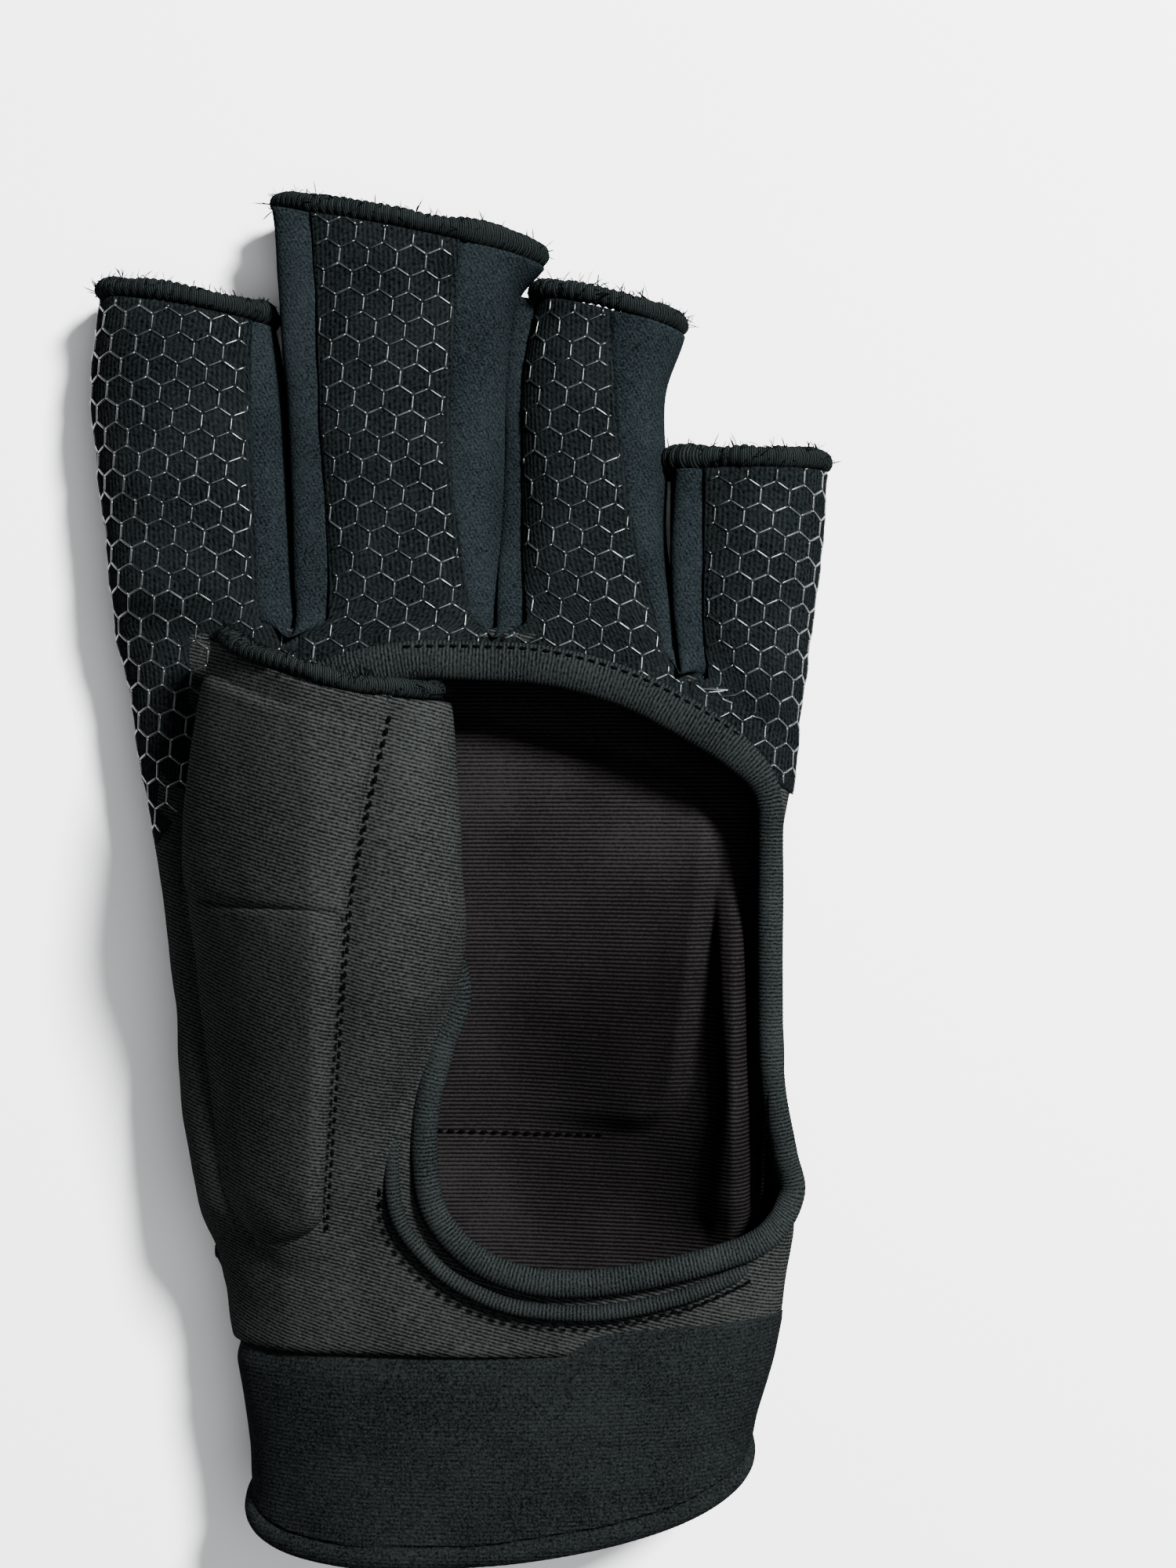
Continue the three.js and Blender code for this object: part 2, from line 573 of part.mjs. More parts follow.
// Side strips: each runs down one finger, round the crotch, and up the next.
const STRIP = { columns: 4, turnSteps: 4, turnDepth: 1.6, startsAbove: 3.4 };
function sideStrip(leftFinger, rightFinger) {
  const profile = (finger, row, side, inset) => {
    const front = seams(finger, row)[side];
    const slack = 2 * halfGap(row) * (side === "right" ? 1 : -1);
    return spread(front - slack, dorsal[side] + slack, STRIP.columns).map((angle) =>
      ovalPoint(row, angle, inset),
    );
  };
  const sheetAt = (inset) => {
    const side = (finger, which) =>
      stationsOf(finger.rows, STRIP.startsAbove).map((row) => profile(finger, row, which, inset));
    const down = side(leftFinger, "right").reverse();
    const up = side(rightFinger, "left");
    const [start, end] = [down.at(-1), up[0]];
    const turn = spread(0, 1, STRIP.turnSteps).slice(1, -1).map((t) =>
      start.map((p, j) => {
        const point = p.clone().lerp(end[j], (1 - Math.cos(Math.PI * t)) / 2);
        point.y -= (STRIP.turnDepth + inset) * Math.sin(Math.PI * t);
        return point;
      }),
    );
    return [...down, ...turn, ...up];
  };
  return thickSheet(sheetAt(0), sheetAt(KNIT));
}
FINGERS.slice(0, -1).forEach((finger, i) => {
  const next = FINGERS[i + 1];
  add(`side_strip_${finger.name}_${next.name}`, sideStrip(finger, next), MATERIAL.sideKnit);
});

export default glove;
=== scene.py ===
import math
import bmesh
import bpy
import numpy as np
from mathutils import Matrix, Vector, noise


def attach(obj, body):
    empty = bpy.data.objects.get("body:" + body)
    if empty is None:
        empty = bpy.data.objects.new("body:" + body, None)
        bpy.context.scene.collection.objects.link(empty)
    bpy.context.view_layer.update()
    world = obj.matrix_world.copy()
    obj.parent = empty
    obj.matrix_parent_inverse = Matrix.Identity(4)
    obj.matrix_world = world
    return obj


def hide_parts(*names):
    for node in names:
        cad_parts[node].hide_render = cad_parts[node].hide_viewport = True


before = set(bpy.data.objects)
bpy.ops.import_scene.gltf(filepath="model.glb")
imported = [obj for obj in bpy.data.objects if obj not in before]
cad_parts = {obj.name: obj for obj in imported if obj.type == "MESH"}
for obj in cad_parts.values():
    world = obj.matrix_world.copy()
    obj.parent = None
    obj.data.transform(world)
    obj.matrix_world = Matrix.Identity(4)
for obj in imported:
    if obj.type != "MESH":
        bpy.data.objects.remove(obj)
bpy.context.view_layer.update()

mm = 0.001  # all tables below are in millimetres
tau = 2 * math.pi
print("frame loaded")

# Cross-sections of each tube of cloth, from the wrist to the fingertips, as in the part's own source.
# follow, slope, bow and lean shift a row's points in y: with the knuckle line, with x, and with z.
# fall is how far the top has dropped at the left side, from the x of its crest.
knuckle = {"y": 36.0, "bendsFrom": 6.0, "fall": 0.0086}
crestEase = 1.2  # above 1, the fall from a crest starts gently


def rowsOf(columns, rows):
    names = columns.split()
    optional = ("follow", "slope", "bow", "lean", "crest", "fall", "frontLeft", "frontRight")
    table = {key: np.zeros(len(rows)) for key in optional}
    table.update({key: np.array([row[i] for row in rows], float) for i, key in enumerate(names)})
    return table


handRows = rowsOf("y left right low high power follow slope", [
    (-69.0, -33.2, 47.6, -1.0, 30.0, 2.4, 0, 0.03),
    (-60.6, -35.8, 48.6, -1.0, 31.0, 2.5, 0, 0),
    (-51.2, -38.1, 49.8, -1.0, 31.0, 2.6, 0, 0),
    (-36.0, -40.4, 48.8, -1.0, 29.5, 2.8, 0, 0),
    (-18.0, -42.2, 48.2, -1.0, 27.5, 3, 0.05, 0),
    (0.3, -44.6, 48.2, -1.0, 24.5, 3, 0.25, 0),
    (14.4, -47.0, 48.4, -1.0, 21.5, 3, 0.6, 0),
    (27.0, -49.3, 49.9, -1.0, 20.0, 3, 0.9, 0),
    (35.7, -51.5, 50.8, -1.0, 19.0, 3, 1, 0),
])
wristRows = rowsOf("y left right low high power slope lean", [
    (-87.6, -30.9, 43.6, -1.0, 29.0, 2.2, 0.105, -0.55),
    (-81.0, -31.2, 45.0, -1.0, 29.5, 2.2, 0.08, -0.34),
    (-75.0, -31.9, 46.4, -1.0, 30.0, 2.3, 0.05, -0.14),
    (-69.3, -33.1, 47.5, -1.0, 30.0, 2.4, 0.03, 0),
])
thumbRows = rowsOf("y left right low high power crest fall slope bow", [
    (-56.0, -32.6, -12.0, 4.0, 30.0, 2.2, -20, 4, 0, 0),
    (-46.0, -36.0, -9.0, 3.0, 34.5, 2.2, -20, 8, 0, 0),
    (-35.0, -37.3, -7.5, 4.0, 38.5, 2.2, -19, 11, 0, 0),
    (-24.0, -37.6, -3.4, 6.0, 42.0, 2.2, -18.5, 12, 0, 0),
    (-12.0, -38.0, 0.8, 12.0, 45.0, 2.2, -18, 12, 0, 0),
    (3.4, -39.0, 0.3, 23.0, 47.0, 2.3, -18, 10.5, 0, 0),
    (15.0, -37.4, -0.2, 25.0, 47.5, 2.3, -18, 10.5, -0.12, 0.004),
    (26.4, -34.4, -1.2, 25.5, 46.5, 2.4, -18.5, 9.5, -0.27, 0.009),
])
fingerColumns = "y left right low high frontLeft frontRight power follow slope"
indexRows = rowsOf(fingerColumns, [
    (36.0, -51.5, -23.4, -1.0, 19.0, -51, -29, 2.9, 1, 0),
    (49.0, -52.9, -24.8, -1.0, 18.5, -52, -30, 2.5, 0, 0),
    (61.0, -54.4, -26.0, -0.8, 18.0, -54, -30.5, 2.3, 0, 0),
    (73.0, -55.2, -27.0, -0.6, 17.5, -55, -31, 2.3, 0, 0),
    (83.6, -54.0, -28.6, -0.4, 17.5, -53, -31, 2.3, 0, -0.17),
])
middleRows = rowsOf(fingerColumns, [
    (36.0, -22.6, 6.0, -1.0, 19.0, -18.6, 2.2, 2.9, 1, 0),
    (48.3, -23.4, 6.4, -1.0, 19.0, -19, 0.3, 2.5, 0, 0),
    (61.0, -24.8, 7.0, -1.0, 18.5, -19.8, -1.2, 2.3, 0, 0),
    (75.0, -25.2, 7.4, -0.8, 18.0, -20.5, -0.8, 2.3, 0, 0),
    (88.0, -26.0, 8.4, -0.6, 18.0, -21, -0.2, 2.3, 0, -0.12),
    (94.7, -27.6, 12.2, -0.4, 18.0, -21.5, 0.3, 2.3, 0, -0.2),
])
ringRows = rowsOf(fingerColumns, [
    (36.0, 6.8, 33.4, -1.0, 19.0, 10.5, 31, 2.9, 1, 0),
    (49.0, 8.5, 30.9, -1.0, 18.5, 9.9, 26.4, 2.4, 0.3, 0),
    (60.0, 8.4, 30.6, -0.8, 18.0, 9.8, 24.6, 2.3, 0, 0),
    (72.0, 8.8, 30.6, -0.6, 17.5, 10, 23.2, 2.3, 0, -0.08),
    (83.0, 11.4, 33.4, -0.4, 17.0, 11.8, 22.6, 2.3, 0, -0.24),
])
littleRows = rowsOf(fingerColumns, [
    (36.0, 34.3, 50.8, -1.0, 19.0, 37.2, 49.8, 2.9, 1, 0),
    (42.0, 33.2, 52.2, -1.0, 18.5, 36.6, 50.6, 2.4, 0.6, 0),
    (50.0, 32.4, 54.2, -0.8, 18.0, 36.6, 52.6, 2.3, 0.2, 0),
    (59.6, 32.8, 55.2, -0.4, 17.5, 36.8, 54, 2.3, 0, 0),
])


def rowAt(rows, y):  # the row at any y, on a smooth curve through the table
    ys = rows["y"]
    last = len(ys) - 1
    y = np.asarray(y, float)
    i = np.clip(np.searchsorted(ys, y, side="right") - 1, 0, last - 1)
    span = ys[i + 1] - ys[i]
    t = np.clip((y - ys[i]) / span, 0, 1)
    weights = (2 * t**3 - 3 * t**2 + 1, t**3 - 2 * t**2 + t, -2 * t**3 + 3 * t**2, t**3 - t**2)
    order = np.arange(last + 1)
    before, after = np.maximum(order - 1, 0), np.minimum(order + 1, last)
    row = {}
    for key, value in rows.items():
        rise = (value[after] - value[before]) / (ys[after] - ys[before])
        row[key] = (weights[0] * value[i] + weights[1] * rise[i] * span
                    + weights[2] * value[i + 1] + weights[3] * rise[i + 1] * span)
    row["y"] = y
    return row


def knuckleDrop(x):
    return knuckle["fall"] * np.maximum(0, x - knuckle["bendsFrom"]) ** 2


def ovalPoint(row, angle, inset=0.0):  # a point of the oval, inset into the cloth; the back lies flat
    midX, halfX = (row["left"] + row["right"]) / 2, (row["right"] - row["left"]) / 2
    midZ, halfZ = (row["low"] + row["high"]) / 2, (row["high"] - row["low"]) / 2
    c, s = np.cos(angle), np.sin(angle)
    power = 2 / row["power"]
    x = midX + (halfX - inset) * np.sign(c) * np.abs(c) ** power
    z = midZ + (halfZ - inset) * np.sign(s) * np.abs(s) ** power
    z = np.maximum(np.maximum(0, inset), z)
    beyond = np.maximum(0, (row["crest"] - x) / (row["crest"] - row["left"]))
    drop = row["fall"] * beyond ** crestEase * np.clip((z - row["low"]) / halfZ, 0, 1)
    shift = row["slope"] * (x - midX) + row["bow"] * (x - midX) ** 2 + row["lean"] * (z - midZ)
    y = row["y"] + shift - row["follow"] * knuckleDrop(x)
    return np.stack(np.broadcast_arrays(x, y, z - drop), axis=-1)


def angleOver(row, x):
    offset = (x - (row["left"] + row["right"]) / 2) / ((row["right"] - row["left"]) / 2)
    offset = np.clip(offset, -1, 1)
    return np.arccos(np.sign(offset) * np.abs(offset) ** (row["power"] / 2))


def surfaceZ(rows, x, y):  # height of a tube's upper side over a point
    row = rowAt(rows, y)
    for _ in range(4):
        row = rowAt(rows, y + row["follow"] * knuckleDrop(x))
    return ovalPoint(row, angleOver(row, x))[..., 2]


def ease(low, high, value):
    t = np.clip((value - low) / (high - low), 0, 1)
    return t * t * (3 - 2 * t)


def softNoise(points, size, seed=0.0):  # smooth noise about -1 to 1, with bumps of that size in mm
    flat = points.reshape(-1, 3) / size + seed
    values = np.array([noise.noise(Vector(p)) for p in flat.tolist()])
    return values.reshape(points.shape[:-1])


# meshes: grids of points, sheets with a thickness, rolls and threads
tableGap = 0.02  # nothing sinks into the table
roll = {"sides": 18, "girth": 12}  # girth: mm of weave once round a roll


def gridFaces(rows, columns, closeRows=False, closeColumns=False):
    faces = []
    for i in range(rows if closeRows else rows - 1):
        for j in range(columns if closeColumns else columns - 1):
            a, b = i * columns + j, i * columns + (j + 1) % columns
            c, d = ((i + 1) % rows) * columns + (j + 1) % columns, ((i + 1) % rows) * columns + j
            faces.append((a, b, c, d))
    return faces


def meshPiece(name, points, faces, material, replaced=(), weave=None):
    mesh = bpy.data.meshes.new(name)
    points = np.array(points, float).reshape(-1, 3)
    points[:, 2] = np.maximum(points[:, 2], tableGap)
    mesh.from_pydata((points * mm).tolist(), [], faces)
    if weave is not None:
        layer = mesh.uv_layers.new(name="weave")
        corners = np.empty(len(mesh.loops), dtype=np.int32)
        mesh.loops.foreach_get("vertex_index", corners)
        layer.data.foreach_set("uv", (np.asarray(weave).reshape(-1, 2)[corners] * mm).ravel())
    shape = bmesh.new()
    shape.from_mesh(mesh)
    bmesh.ops.recalc_face_normals(shape, faces=shape.faces)
    shape.to_mesh(mesh)
    shape.free()
    mesh.polygons.foreach_set("use_smooth", [True] * len(mesh.polygons))
    piece = bpy.data.objects.new(name, mesh)
    bpy.context.scene.collection.objects.link(piece)
    mesh.materials.append(material)
    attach(piece, "root")
    if replaced:
        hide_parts(*replaced)
    return piece


def arcLengths(points, axis):  # running length along one axis of a grid of points
    steps = np.linalg.norm(np.diff(points, axis=axis), axis=-1)
    start = np.zeros_like(np.take(steps, [0], axis=axis))
    return np.concatenate([start, np.cumsum(steps, axis=axis)], axis=axis)


def thickSheet(name, outer, inner, material, replaced=(), closeColumns=False):
    rows, columns = outer.shape[:2]
    count = rows * columns
    front = gridFaces(rows, columns, False, closeColumns)
    back = [tuple(count + v for v in reversed(face)) for face in front]
    rims = []
    for j in range(columns if closeColumns else columns - 1):
        k = (j + 1) % columns
        rims.append((j, k, count + k, count + j))
        top = (rows - 1) * columns
        rims.append((top + k, top + j, count + top + j, count + top + k))
    if not closeColumns:
        for i in range(rows - 1):
            a, b = i * columns, (i + 1) * columns
            rims.append((b, a, count + a, count + b))
            c, d = a + columns - 1, b + columns - 1
            rims.append((c, d, count + d, count + c))
    across, along = arcLengths(outer, 1), arcLengths(outer, 0)
    across = across - across[:, columns // 2:columns // 2 + 1]
    weave = np.stack([across, along], axis=-1).reshape(-1, 2)
    points = np.concatenate([outer.reshape(-1, 3), inner.reshape(-1, 3)])
    weave = np.concatenate([weave, weave])
    return meshPiece(name, points, front + back + rims, material, replaced, weave)


def gridNormals(points):
    down, across = np.gradient(points, axis=0), np.gradient(points, axis=1)
    normals = np.cross(across, down)
    return normals / np.maximum(np.linalg.norm(normals, axis=-1, keepdims=True), 1e-9)


def smoothRoute(points, closed, count):  # evenly spaced points on a smooth curve through the given ones
    points = np.asarray(points, float)
    n = len(points)
    stops = np.arange(n + 1 if closed else n)
    t = np.linspace(0, stops[-1], 40 * n)
    i = np.minimum(t.astype(int), stops[-1] - 1)
    f = (t - i)[:, None]
    pick = (lambda k: points[k % n]) if closed else (lambda k: points[np.clip(k, 0, n - 1)])
    p0, p1, p2, p3 = pick(i - 1), pick(i), pick(i + 1), pick(i + 2)
    curve = 0.5 * (2 * p1 + (p2 - p0) * f + (2 * p0 - 5 * p1 + 4 * p2 - p3) * f**2
                   + (3 * p1 - p0 - 3 * p2 + p3) * f**3)
    length = np.concatenate([[0], np.cumsum(np.linalg.norm(np.diff(curve, axis=0), axis=1))])
    at = np.linspace(0, length[-1], count, endpoint=not closed)
    return np.stack([np.interp(at, length, curve[:, k]) for k in range(3)], axis=1), length[-1]


def rollPiece(name, route, sideways, upward, sizes, material, replaced=(), closed=True):
    # sizes(t, turn) gives how far the skin stands from the route, sideways and upwards
    sides = roll["sides"]
    turn = np.linspace(0, tau, sides, endpoint=False)[None, :]
    t = np.arange(len(route))[:, None]
    across, up = sizes(t, turn)
    offset = sideways[:, None, :] * across[..., None] + upward[:, None, :] * up[..., None]
    points = route[:, None, :] + offset
    faces = gridFaces(len(route), sides, closed, True)
    if not closed:
        faces += [tuple(range(sides)), tuple(reversed(range((len(route) - 1) * sides, len(route) * sides)))]
    step = np.linalg.norm(np.diff(route, axis=0), axis=1).mean()
    weave = np.stack(np.broadcast_arrays(turn / tau * roll["girth"], t * step), axis=-1)
    return meshPiece(name, points, faces, material, replaced, weave)


def threadPieces(name, paths, radii, material, sides=5):
    # many short threads in one piece: each path is an array of points, thinning to its ends
    points, faces = [], []
    for path, radius in zip(paths, radii):
        tangent = np.gradient(path, axis=0)
        tangent /= np.maximum(np.linalg.norm(tangent, axis=1, keepdims=True), 1e-9)
        helper = np.where(np.abs(tangent[:, 2:3]) > 0.8, [[1.0, 0, 0]], [[0, 0, 1.0]])
        right = np.cross(tangent, helper)
        right /= np.linalg.norm(right, axis=1, keepdims=True)
        over = np.cross(right, tangent)
        n = len(path)
        taper = np.sqrt(np.clip(1 - (2 * np.linspace(0, 1, n) - 1) ** 4, 0.02, 1))[:, None, None] * radius
        turn = np.linspace(0, tau, sides, endpoint=False)[None, :, None]
        spokes = np.cos(turn) * right[:, None, :] + np.sin(turn) * over[:, None, :]
        ring = path[:, None, :] + taper * spokes
        start = sum(len(p) for p in points)
        points.append(ring.reshape(-1, 3))
        faces += [tuple(start + v for v in face) for face in gridFaces(n, sides, False, True)]
        faces.append(tuple(start + v for v in range(sides)))
        faces.append(tuple(start + v for v in reversed(range((n - 1) * sides, n * sides))))
    return meshPiece(name, np.concatenate(points), faces, material)


# materials: knits, threads and the printed lines, all procedural
waveScale = 0.31416  # scale of the wave texture that gives one rib to a unit


def newMaterial(name):
    material = bpy.data.materials.new(name)
    material.use_nodes = True
    return material, material.node_tree.nodes, material.node_tree.links


def noiseNode(nodes, links, source, size, detail):  # noise with patches of that size in mm
    cloud = nodes.new("ShaderNodeTexNoise")
    cloud.inputs["Scale"].default_value = 1 / (size * mm)
    cloud.inputs["Detail"].default_value = detail
    links.new(source, cloud.inputs["Vector"])
    return cloud.outputs["Fac"]


def ribNode(nodes, links, source, look):  # a rib every ribPitch, turned by ribAngle
    turned = nodes.new("ShaderNodeMapping")
    turned.inputs["Rotation"].default_value = (0, 0, math.radians(look.get("ribAngle", 0)))
    links.new(source, turned.inputs["Vector"])
    ribs = nodes.new("ShaderNodeTexWave")
    ribs.bands_direction = "Y"
    ribs.inputs["Scale"].default_value = waveScale / (look["ribPitch"] * mm)
    ribs.inputs["Distortion"].default_value = look.get("ribWander", 1.2)
    ribs.inputs["Detail"].default_value = 2
    ribs.inputs["Detail Scale"].default_value = 1.5
    links.new(turned.outputs["Vector"], ribs.inputs["Vector"])
    return ribs.outputs["Fac"]


def mixNode(nodes, links, share, first, second):
    mixed = nodes.new("ShaderNodeMix")
    mixed.data_type = "FLOAT"
    mixed.inputs[0].default_value = share
    links.new(first, mixed.inputs[2])
    links.new(second, mixed.inputs[3])
    return mixed.outputs[0]


def paintedShadeArea(nodes, links, source, area, amount):  # painted shade: takes some off the tone round one spot of the cloth
    around = nodes.new("ShaderNodeMapping")
    around.vector_type = "TEXTURE"
    around.inputs["Location"].default_value = [value * mm for value in area["at"]]
    around.inputs["Scale"].default_value = [area["reach"] * mm] * 3
    links.new(source, around.inputs["Vector"])
    fading = nodes.new("ShaderNodeTexGradient")
    fading.gradient_type = "SPHERICAL"
    links.new(around.outputs["Vector"], fading.inputs["Vector"])
    darker = nodes.new("ShaderNodeMath")
    darker.operation = "MULTIPLY_ADD"
    darker.inputs[1].default_value = -area["amount"]
    links.new(fading.outputs["Fac"], darker.inputs[0])
    links.new(amount, darker.inputs[2])
    return darker.outputs[0]


def rampNode(nodes, links, amount, look, low, high):  # from the dark colour at low to the light one at high
    tone = nodes.new("ShaderNodeValToRGB")
    first, last = tone.color_ramp.elements
    first.position, first.color = low, (*look["dark"], 1)
    last.position, last.color = high, (*look["light"], 1)
    links.new(amount, tone.inputs["Fac"])
    return tone.outputs["Color"]


def bumpNode(nodes, links, height, strength, depth, below=None):
    bump = nodes.new("ShaderNodeBump")
    bump.inputs["Strength"].default_value = strength
    bump.inputs["Distance"].default_value = depth * mm
    links.new(height, bump.inputs["Height"])
    if below:
        links.new(below, bump.inputs["Normal"])
    return bump.outputs["Normal"]


def clothMaterial(name, look):
    # fine ribs and a grainy mottle; look holds all that a user would change
    material, nodes, links = newMaterial(name)
    shader = nodes["Principled BSDF"]
    place = nodes.new("ShaderNodeTexCoord")
    source = place.outputs["UV" if look.get("onWeave") else "Object"]
    ribs = ribNode(nodes, links, source, look)
    grain = noiseNode(nodes, links, source, look["grain"], 3)  # single stitches and fibres
    cloudy = noiseNode(nodes, links, source, 14, 4)  # worn and brushed areas
    mottle = mixNode(nodes, links, look.get("cloudShare", 0.45), grain, cloudy)
    amount = mixNode(nodes, links, look.get("ribShare", 0.25), mottle, ribs)
    # painted shade: the cloth's tone is made darker round one spot
    if "wearAndPaintedShade" in look:
        amount = paintedShadeArea(nodes, links, place.outputs["Object"], look["wearAndPaintedShade"], amount)
    links.new(rampNode(nodes, links, amount, look, 0.36, 0.68), shader.inputs["Base Color"])
    shader.inputs["Roughness"].default_value = look["roughness"]
    shader.inputs["Specular IOR Level"].default_value = 0.0  # brushed cloth has no sheen
    ribBump = bumpNode(nodes, links, ribs, look.get("ribStrength", 0.5), look.get("ribHeight", 0.12))
    grainBump = bumpNode(nodes, links, grain, 0.5, look.get("grainHeight", 0.1), ribBump)
    links.new(grainBump, shader.inputs["Normal"])
    return material


paddedKnit = clothMaterial("brushed padded knit", {
    "dark": (0.0018, 0.0021, 0.0019), "light": (0.0192, 0.0212, 0.0203), "roughness": 0.6,
    "ribPitch": 0.51, "ribAngle": 16, "ribShare": 0.26, "ribHeight": 0.05, "grain": 0.42,
    "cloudShare": 0.25})
# painted shade: the lining's tone is darker round x 27, y -26, towards the right wall near the wrist
liningKnit = clothMaterial("ribbed lining knit", {
    "dark": (0.0018, 0.0016, 0.0016), "light": (0.0122, 0.0111, 0.0114), "roughness": 0.6,
    "ribPitch": 0.62, "ribShare": 0.32, "ribHeight": 0.07, "ribStrength": 0.6, "ribWander": 0.6,
    "grain": 0.4, "wearAndPaintedShade": {"at": (27, -26, 6), "reach": 36, "amount": 0.16}})
printedKnit = clothMaterial("stretch knit under the print", {
    "dark": (0.0005, 0.0008, 0.0009), "light": (0.0072, 0.0090, 0.0093), "roughness": 0.7,
    "ribPitch": 0.75, "ribAngle": 90, "grain": 0.5, "ribShare": 0.10, "onWeave": True, "grainHeight": 0.25,
    "cloudShare": 0.3})
sideKnit = clothMaterial("bluish stretch knit", {
    "dark": (0.0010, 0.0017, 0.0020), "light": (0.0103, 0.0137, 0.0155), "roughness": 0.72,
    "ribPitch": 0.55, "ribAngle": 60, "ribShare": 0.06, "ribHeight": 0.02, "grain": 0.3,
    "grainHeight": 0.25, "cloudShare": 0.25})
bindingKnit = clothMaterial("ribbed binding knit", {
    "dark": (0.0009, 0.0013, 0.0013), "light": (0.0135, 0.0160, 0.0157), "roughness": 0.68,
    "ribPitch": 0.55, "ribShare": 0.2, "ribHeight": 0.05, "ribStrength": 0.6, "ribWander": 2.5,
    "grain": 0.34, "onWeave": True, "cloudShare": 0.3})
bandKnit = clothMaterial("speckled band knit", {
    "dark": (0.0010, 0.0014, 0.0014), "light": (0.0094, 0.0110, 0.0112), "roughness": 0.8,
    "ribPitch": 0.6, "grain": 0.33, "ribShare": 0.03, "grainHeight": 0.16, "cloudShare": 0.2})
overlockThread = clothMaterial("overlock thread", {
    "dark": (0.0009, 0.0014, 0.0014), "light": (0.0100, 0.0122, 0.0120), "roughness": 0.6,
    "ribPitch": 0.3, "grain": 0.25, "ribShare": 0.3, "onWeave": True})
stitchThread = clothMaterial("sewing thread", {
    "dark": (0.0006, 0.0006, 0.0008), "light": (0.0018, 0.0020, 0.0022), "roughness": 0.6,
    "ribPitch": 0.25, "grain": 0.2})


def siliconeMaterial(look):
    material, nodes, links = newMaterial("printed silicone lines")
    shader = nodes["Principled BSDF"]
    place = nodes.new("ShaderNodeTexCoord")
    wearAndPaintedShade = noiseNode(nodes, links, place.outputs["Object"], look["patch"], 3)
    links.new(rampNode(nodes, links, wearAndPaintedShade, look, 0.44, 0.72), shader.inputs["Base Color"])
    shader.inputs["Roughness"].default_value = look["roughness"]
    shader.inputs["Specular IOR Level"].default_value = look["specular"]
    return material


siliconeLines = siliconeMaterial({  # patch: mm between worn places
    "dark": (0.003, 0.0042, 0.0044), "light": (0.021, 0.026, 0.027), "patch": 3.4, "roughness": 0.28,
    "specular": 0.5})
print("materials made")

# hand and thumb, one padded shell with the palm cut out of it
bindingPath = np.array([(-20, 26.9), (-8, 30.2), (2, 30.3), (13.7, 29.5), (25.1, 26.3), (34.3, 21.6),
                        (41.2, 17), (45.8, 11.5), (46.3, 2), (46, -14), (46.2, -30), (48.1, -41),
                        (49.3, -47.5), (45.0, -52.8), (36, -55.6), (23, -57.9), (12.5, -58), (3.6, -54.8),
                        (-2.2, -48.6), (-3.9, -41), (-3.6, -33), (-1.7, -25), (0.7, -16), (-4.6, -4),
                        (-12.5, 8), (-19.5, 19)], float)
weltPath = np.array([(-2.2, -19), (-4.8, -25.5), (-7.2, -32.4), (-8.5, -40.8), (-7.8, -48.4), (-4.1, -53.9),
                     (1.1, -58.2), (9.4, -61.6), (21, -62.4), (33, -60.4), (42.6, -57)], float)
shell = {"voxel": 0.9, "thickness": 2.4, "smoothing": 4, "rootRounds": 60, "seamHeight": 11.0,
         "seamDepth": 0.5, "rumple": 0.5, "turnsDownAt": -24.0, "turnsDownBy": 0.3}
# closed tubes that are merged, longer than the cloth, and where they are then cut open
handPlug = {"low": -73, "high": 40, "steps": 64, "sides": 128}
thumbPlug = {"low": -56, "high": 36, "steps": 52, "sides": 80}
cuts = {"wrist": -69.0, "knuckleGap": 0.3, "handTop": 24.0, "thumbUnder": 22.0, "palmAbove": 12.0,
        "palmReach": 2.4, "snap": 1.6}


def onHand(path, lift):
    return np.column_stack([path, surfaceZ(handRows, path[:, 0], path[:, 1]) + lift])


def plugMesh(rows, plug):
    steps, sides = plug["steps"], plug["sides"]
    ys = np.linspace(plug["low"], plug["high"], steps)[:, None]
    angles = np.linspace(0, tau, sides, endpoint=False)[None, :]
    points = ovalPoint(rowAt(rows, ys), angles).reshape(-1, 3)
    faces = gridFaces(steps, sides, False, True)
    last = (steps - 1) * sides
    faces += [tuple(range(sides)), tuple(reversed(range(last, last + sides)))]
    return points, faces


def insideOutline(outline, x, y):
    inside = np.zeros(x.shape, bool)
    for (x0, y0), (x1, y1) in zip(outline, np.roll(outline, -1, axis=0)):
        crosses = (y0 > y) != (y1 > y)
        inside ^= crosses & (x < (x1 - x0) * (y - y0) / (y1 - y0 + 1e-12) + x0)
    return inside


def thumbEnd(x):  # y of the thumb's cut end, which slants and rises to a peak at its outer side
    row = rowAt(thumbRows, thumbRows["y"][-1])
    away = x - (row["left"] + row["right"]) / 2
    return row["y"] + row["slope"] * away + row["bow"] * away ** 2


seamLine = {"y": (-53, -6, -2.6, 25.5), "x": (-18.2, -13.4, -13.1, -7.5), "swell": 1.3, "groove": 0.9,
            "grooveWidth": 1.3}  # sewn seam down the whole thumb


def thumbSeamX(y):
    return np.interp(y, seamLine["y"], seamLine["x"])


def thumbSeamLift(x, y):  # groove along the seam, and the cloth that swells on its palm side
    away = x - thumbSeamX(y)
    swell = seamLine["swell"] * ease(0.2, 6, away) * ease(-55, -35, y) * (1 - ease(23, 27, y))
    return swell - seamLine["groove"] * np.exp(-(away / seamLine["grooveWidth"]) ** 2) * ease(-54, -46, y)


def relax(points, edges, weight, rounds):  # evens out a mesh where weight is near 1
    degree = np.maximum(np.bincount(edges.ravel(), minlength=len(points)), 1)
    for _ in range(rounds):
        one, other = points[edges[:, 0]], points[edges[:, 1]]
        total = np.stack([np.bincount(edges[:, 0], other[:, k], len(points))
                          + np.bincount(edges[:, 1], one[:, k], len(points)) for k in range(3)], 1)
        points = points + 0.5 * weight[:, None] * (total / degree[:, None] - points)
    return points


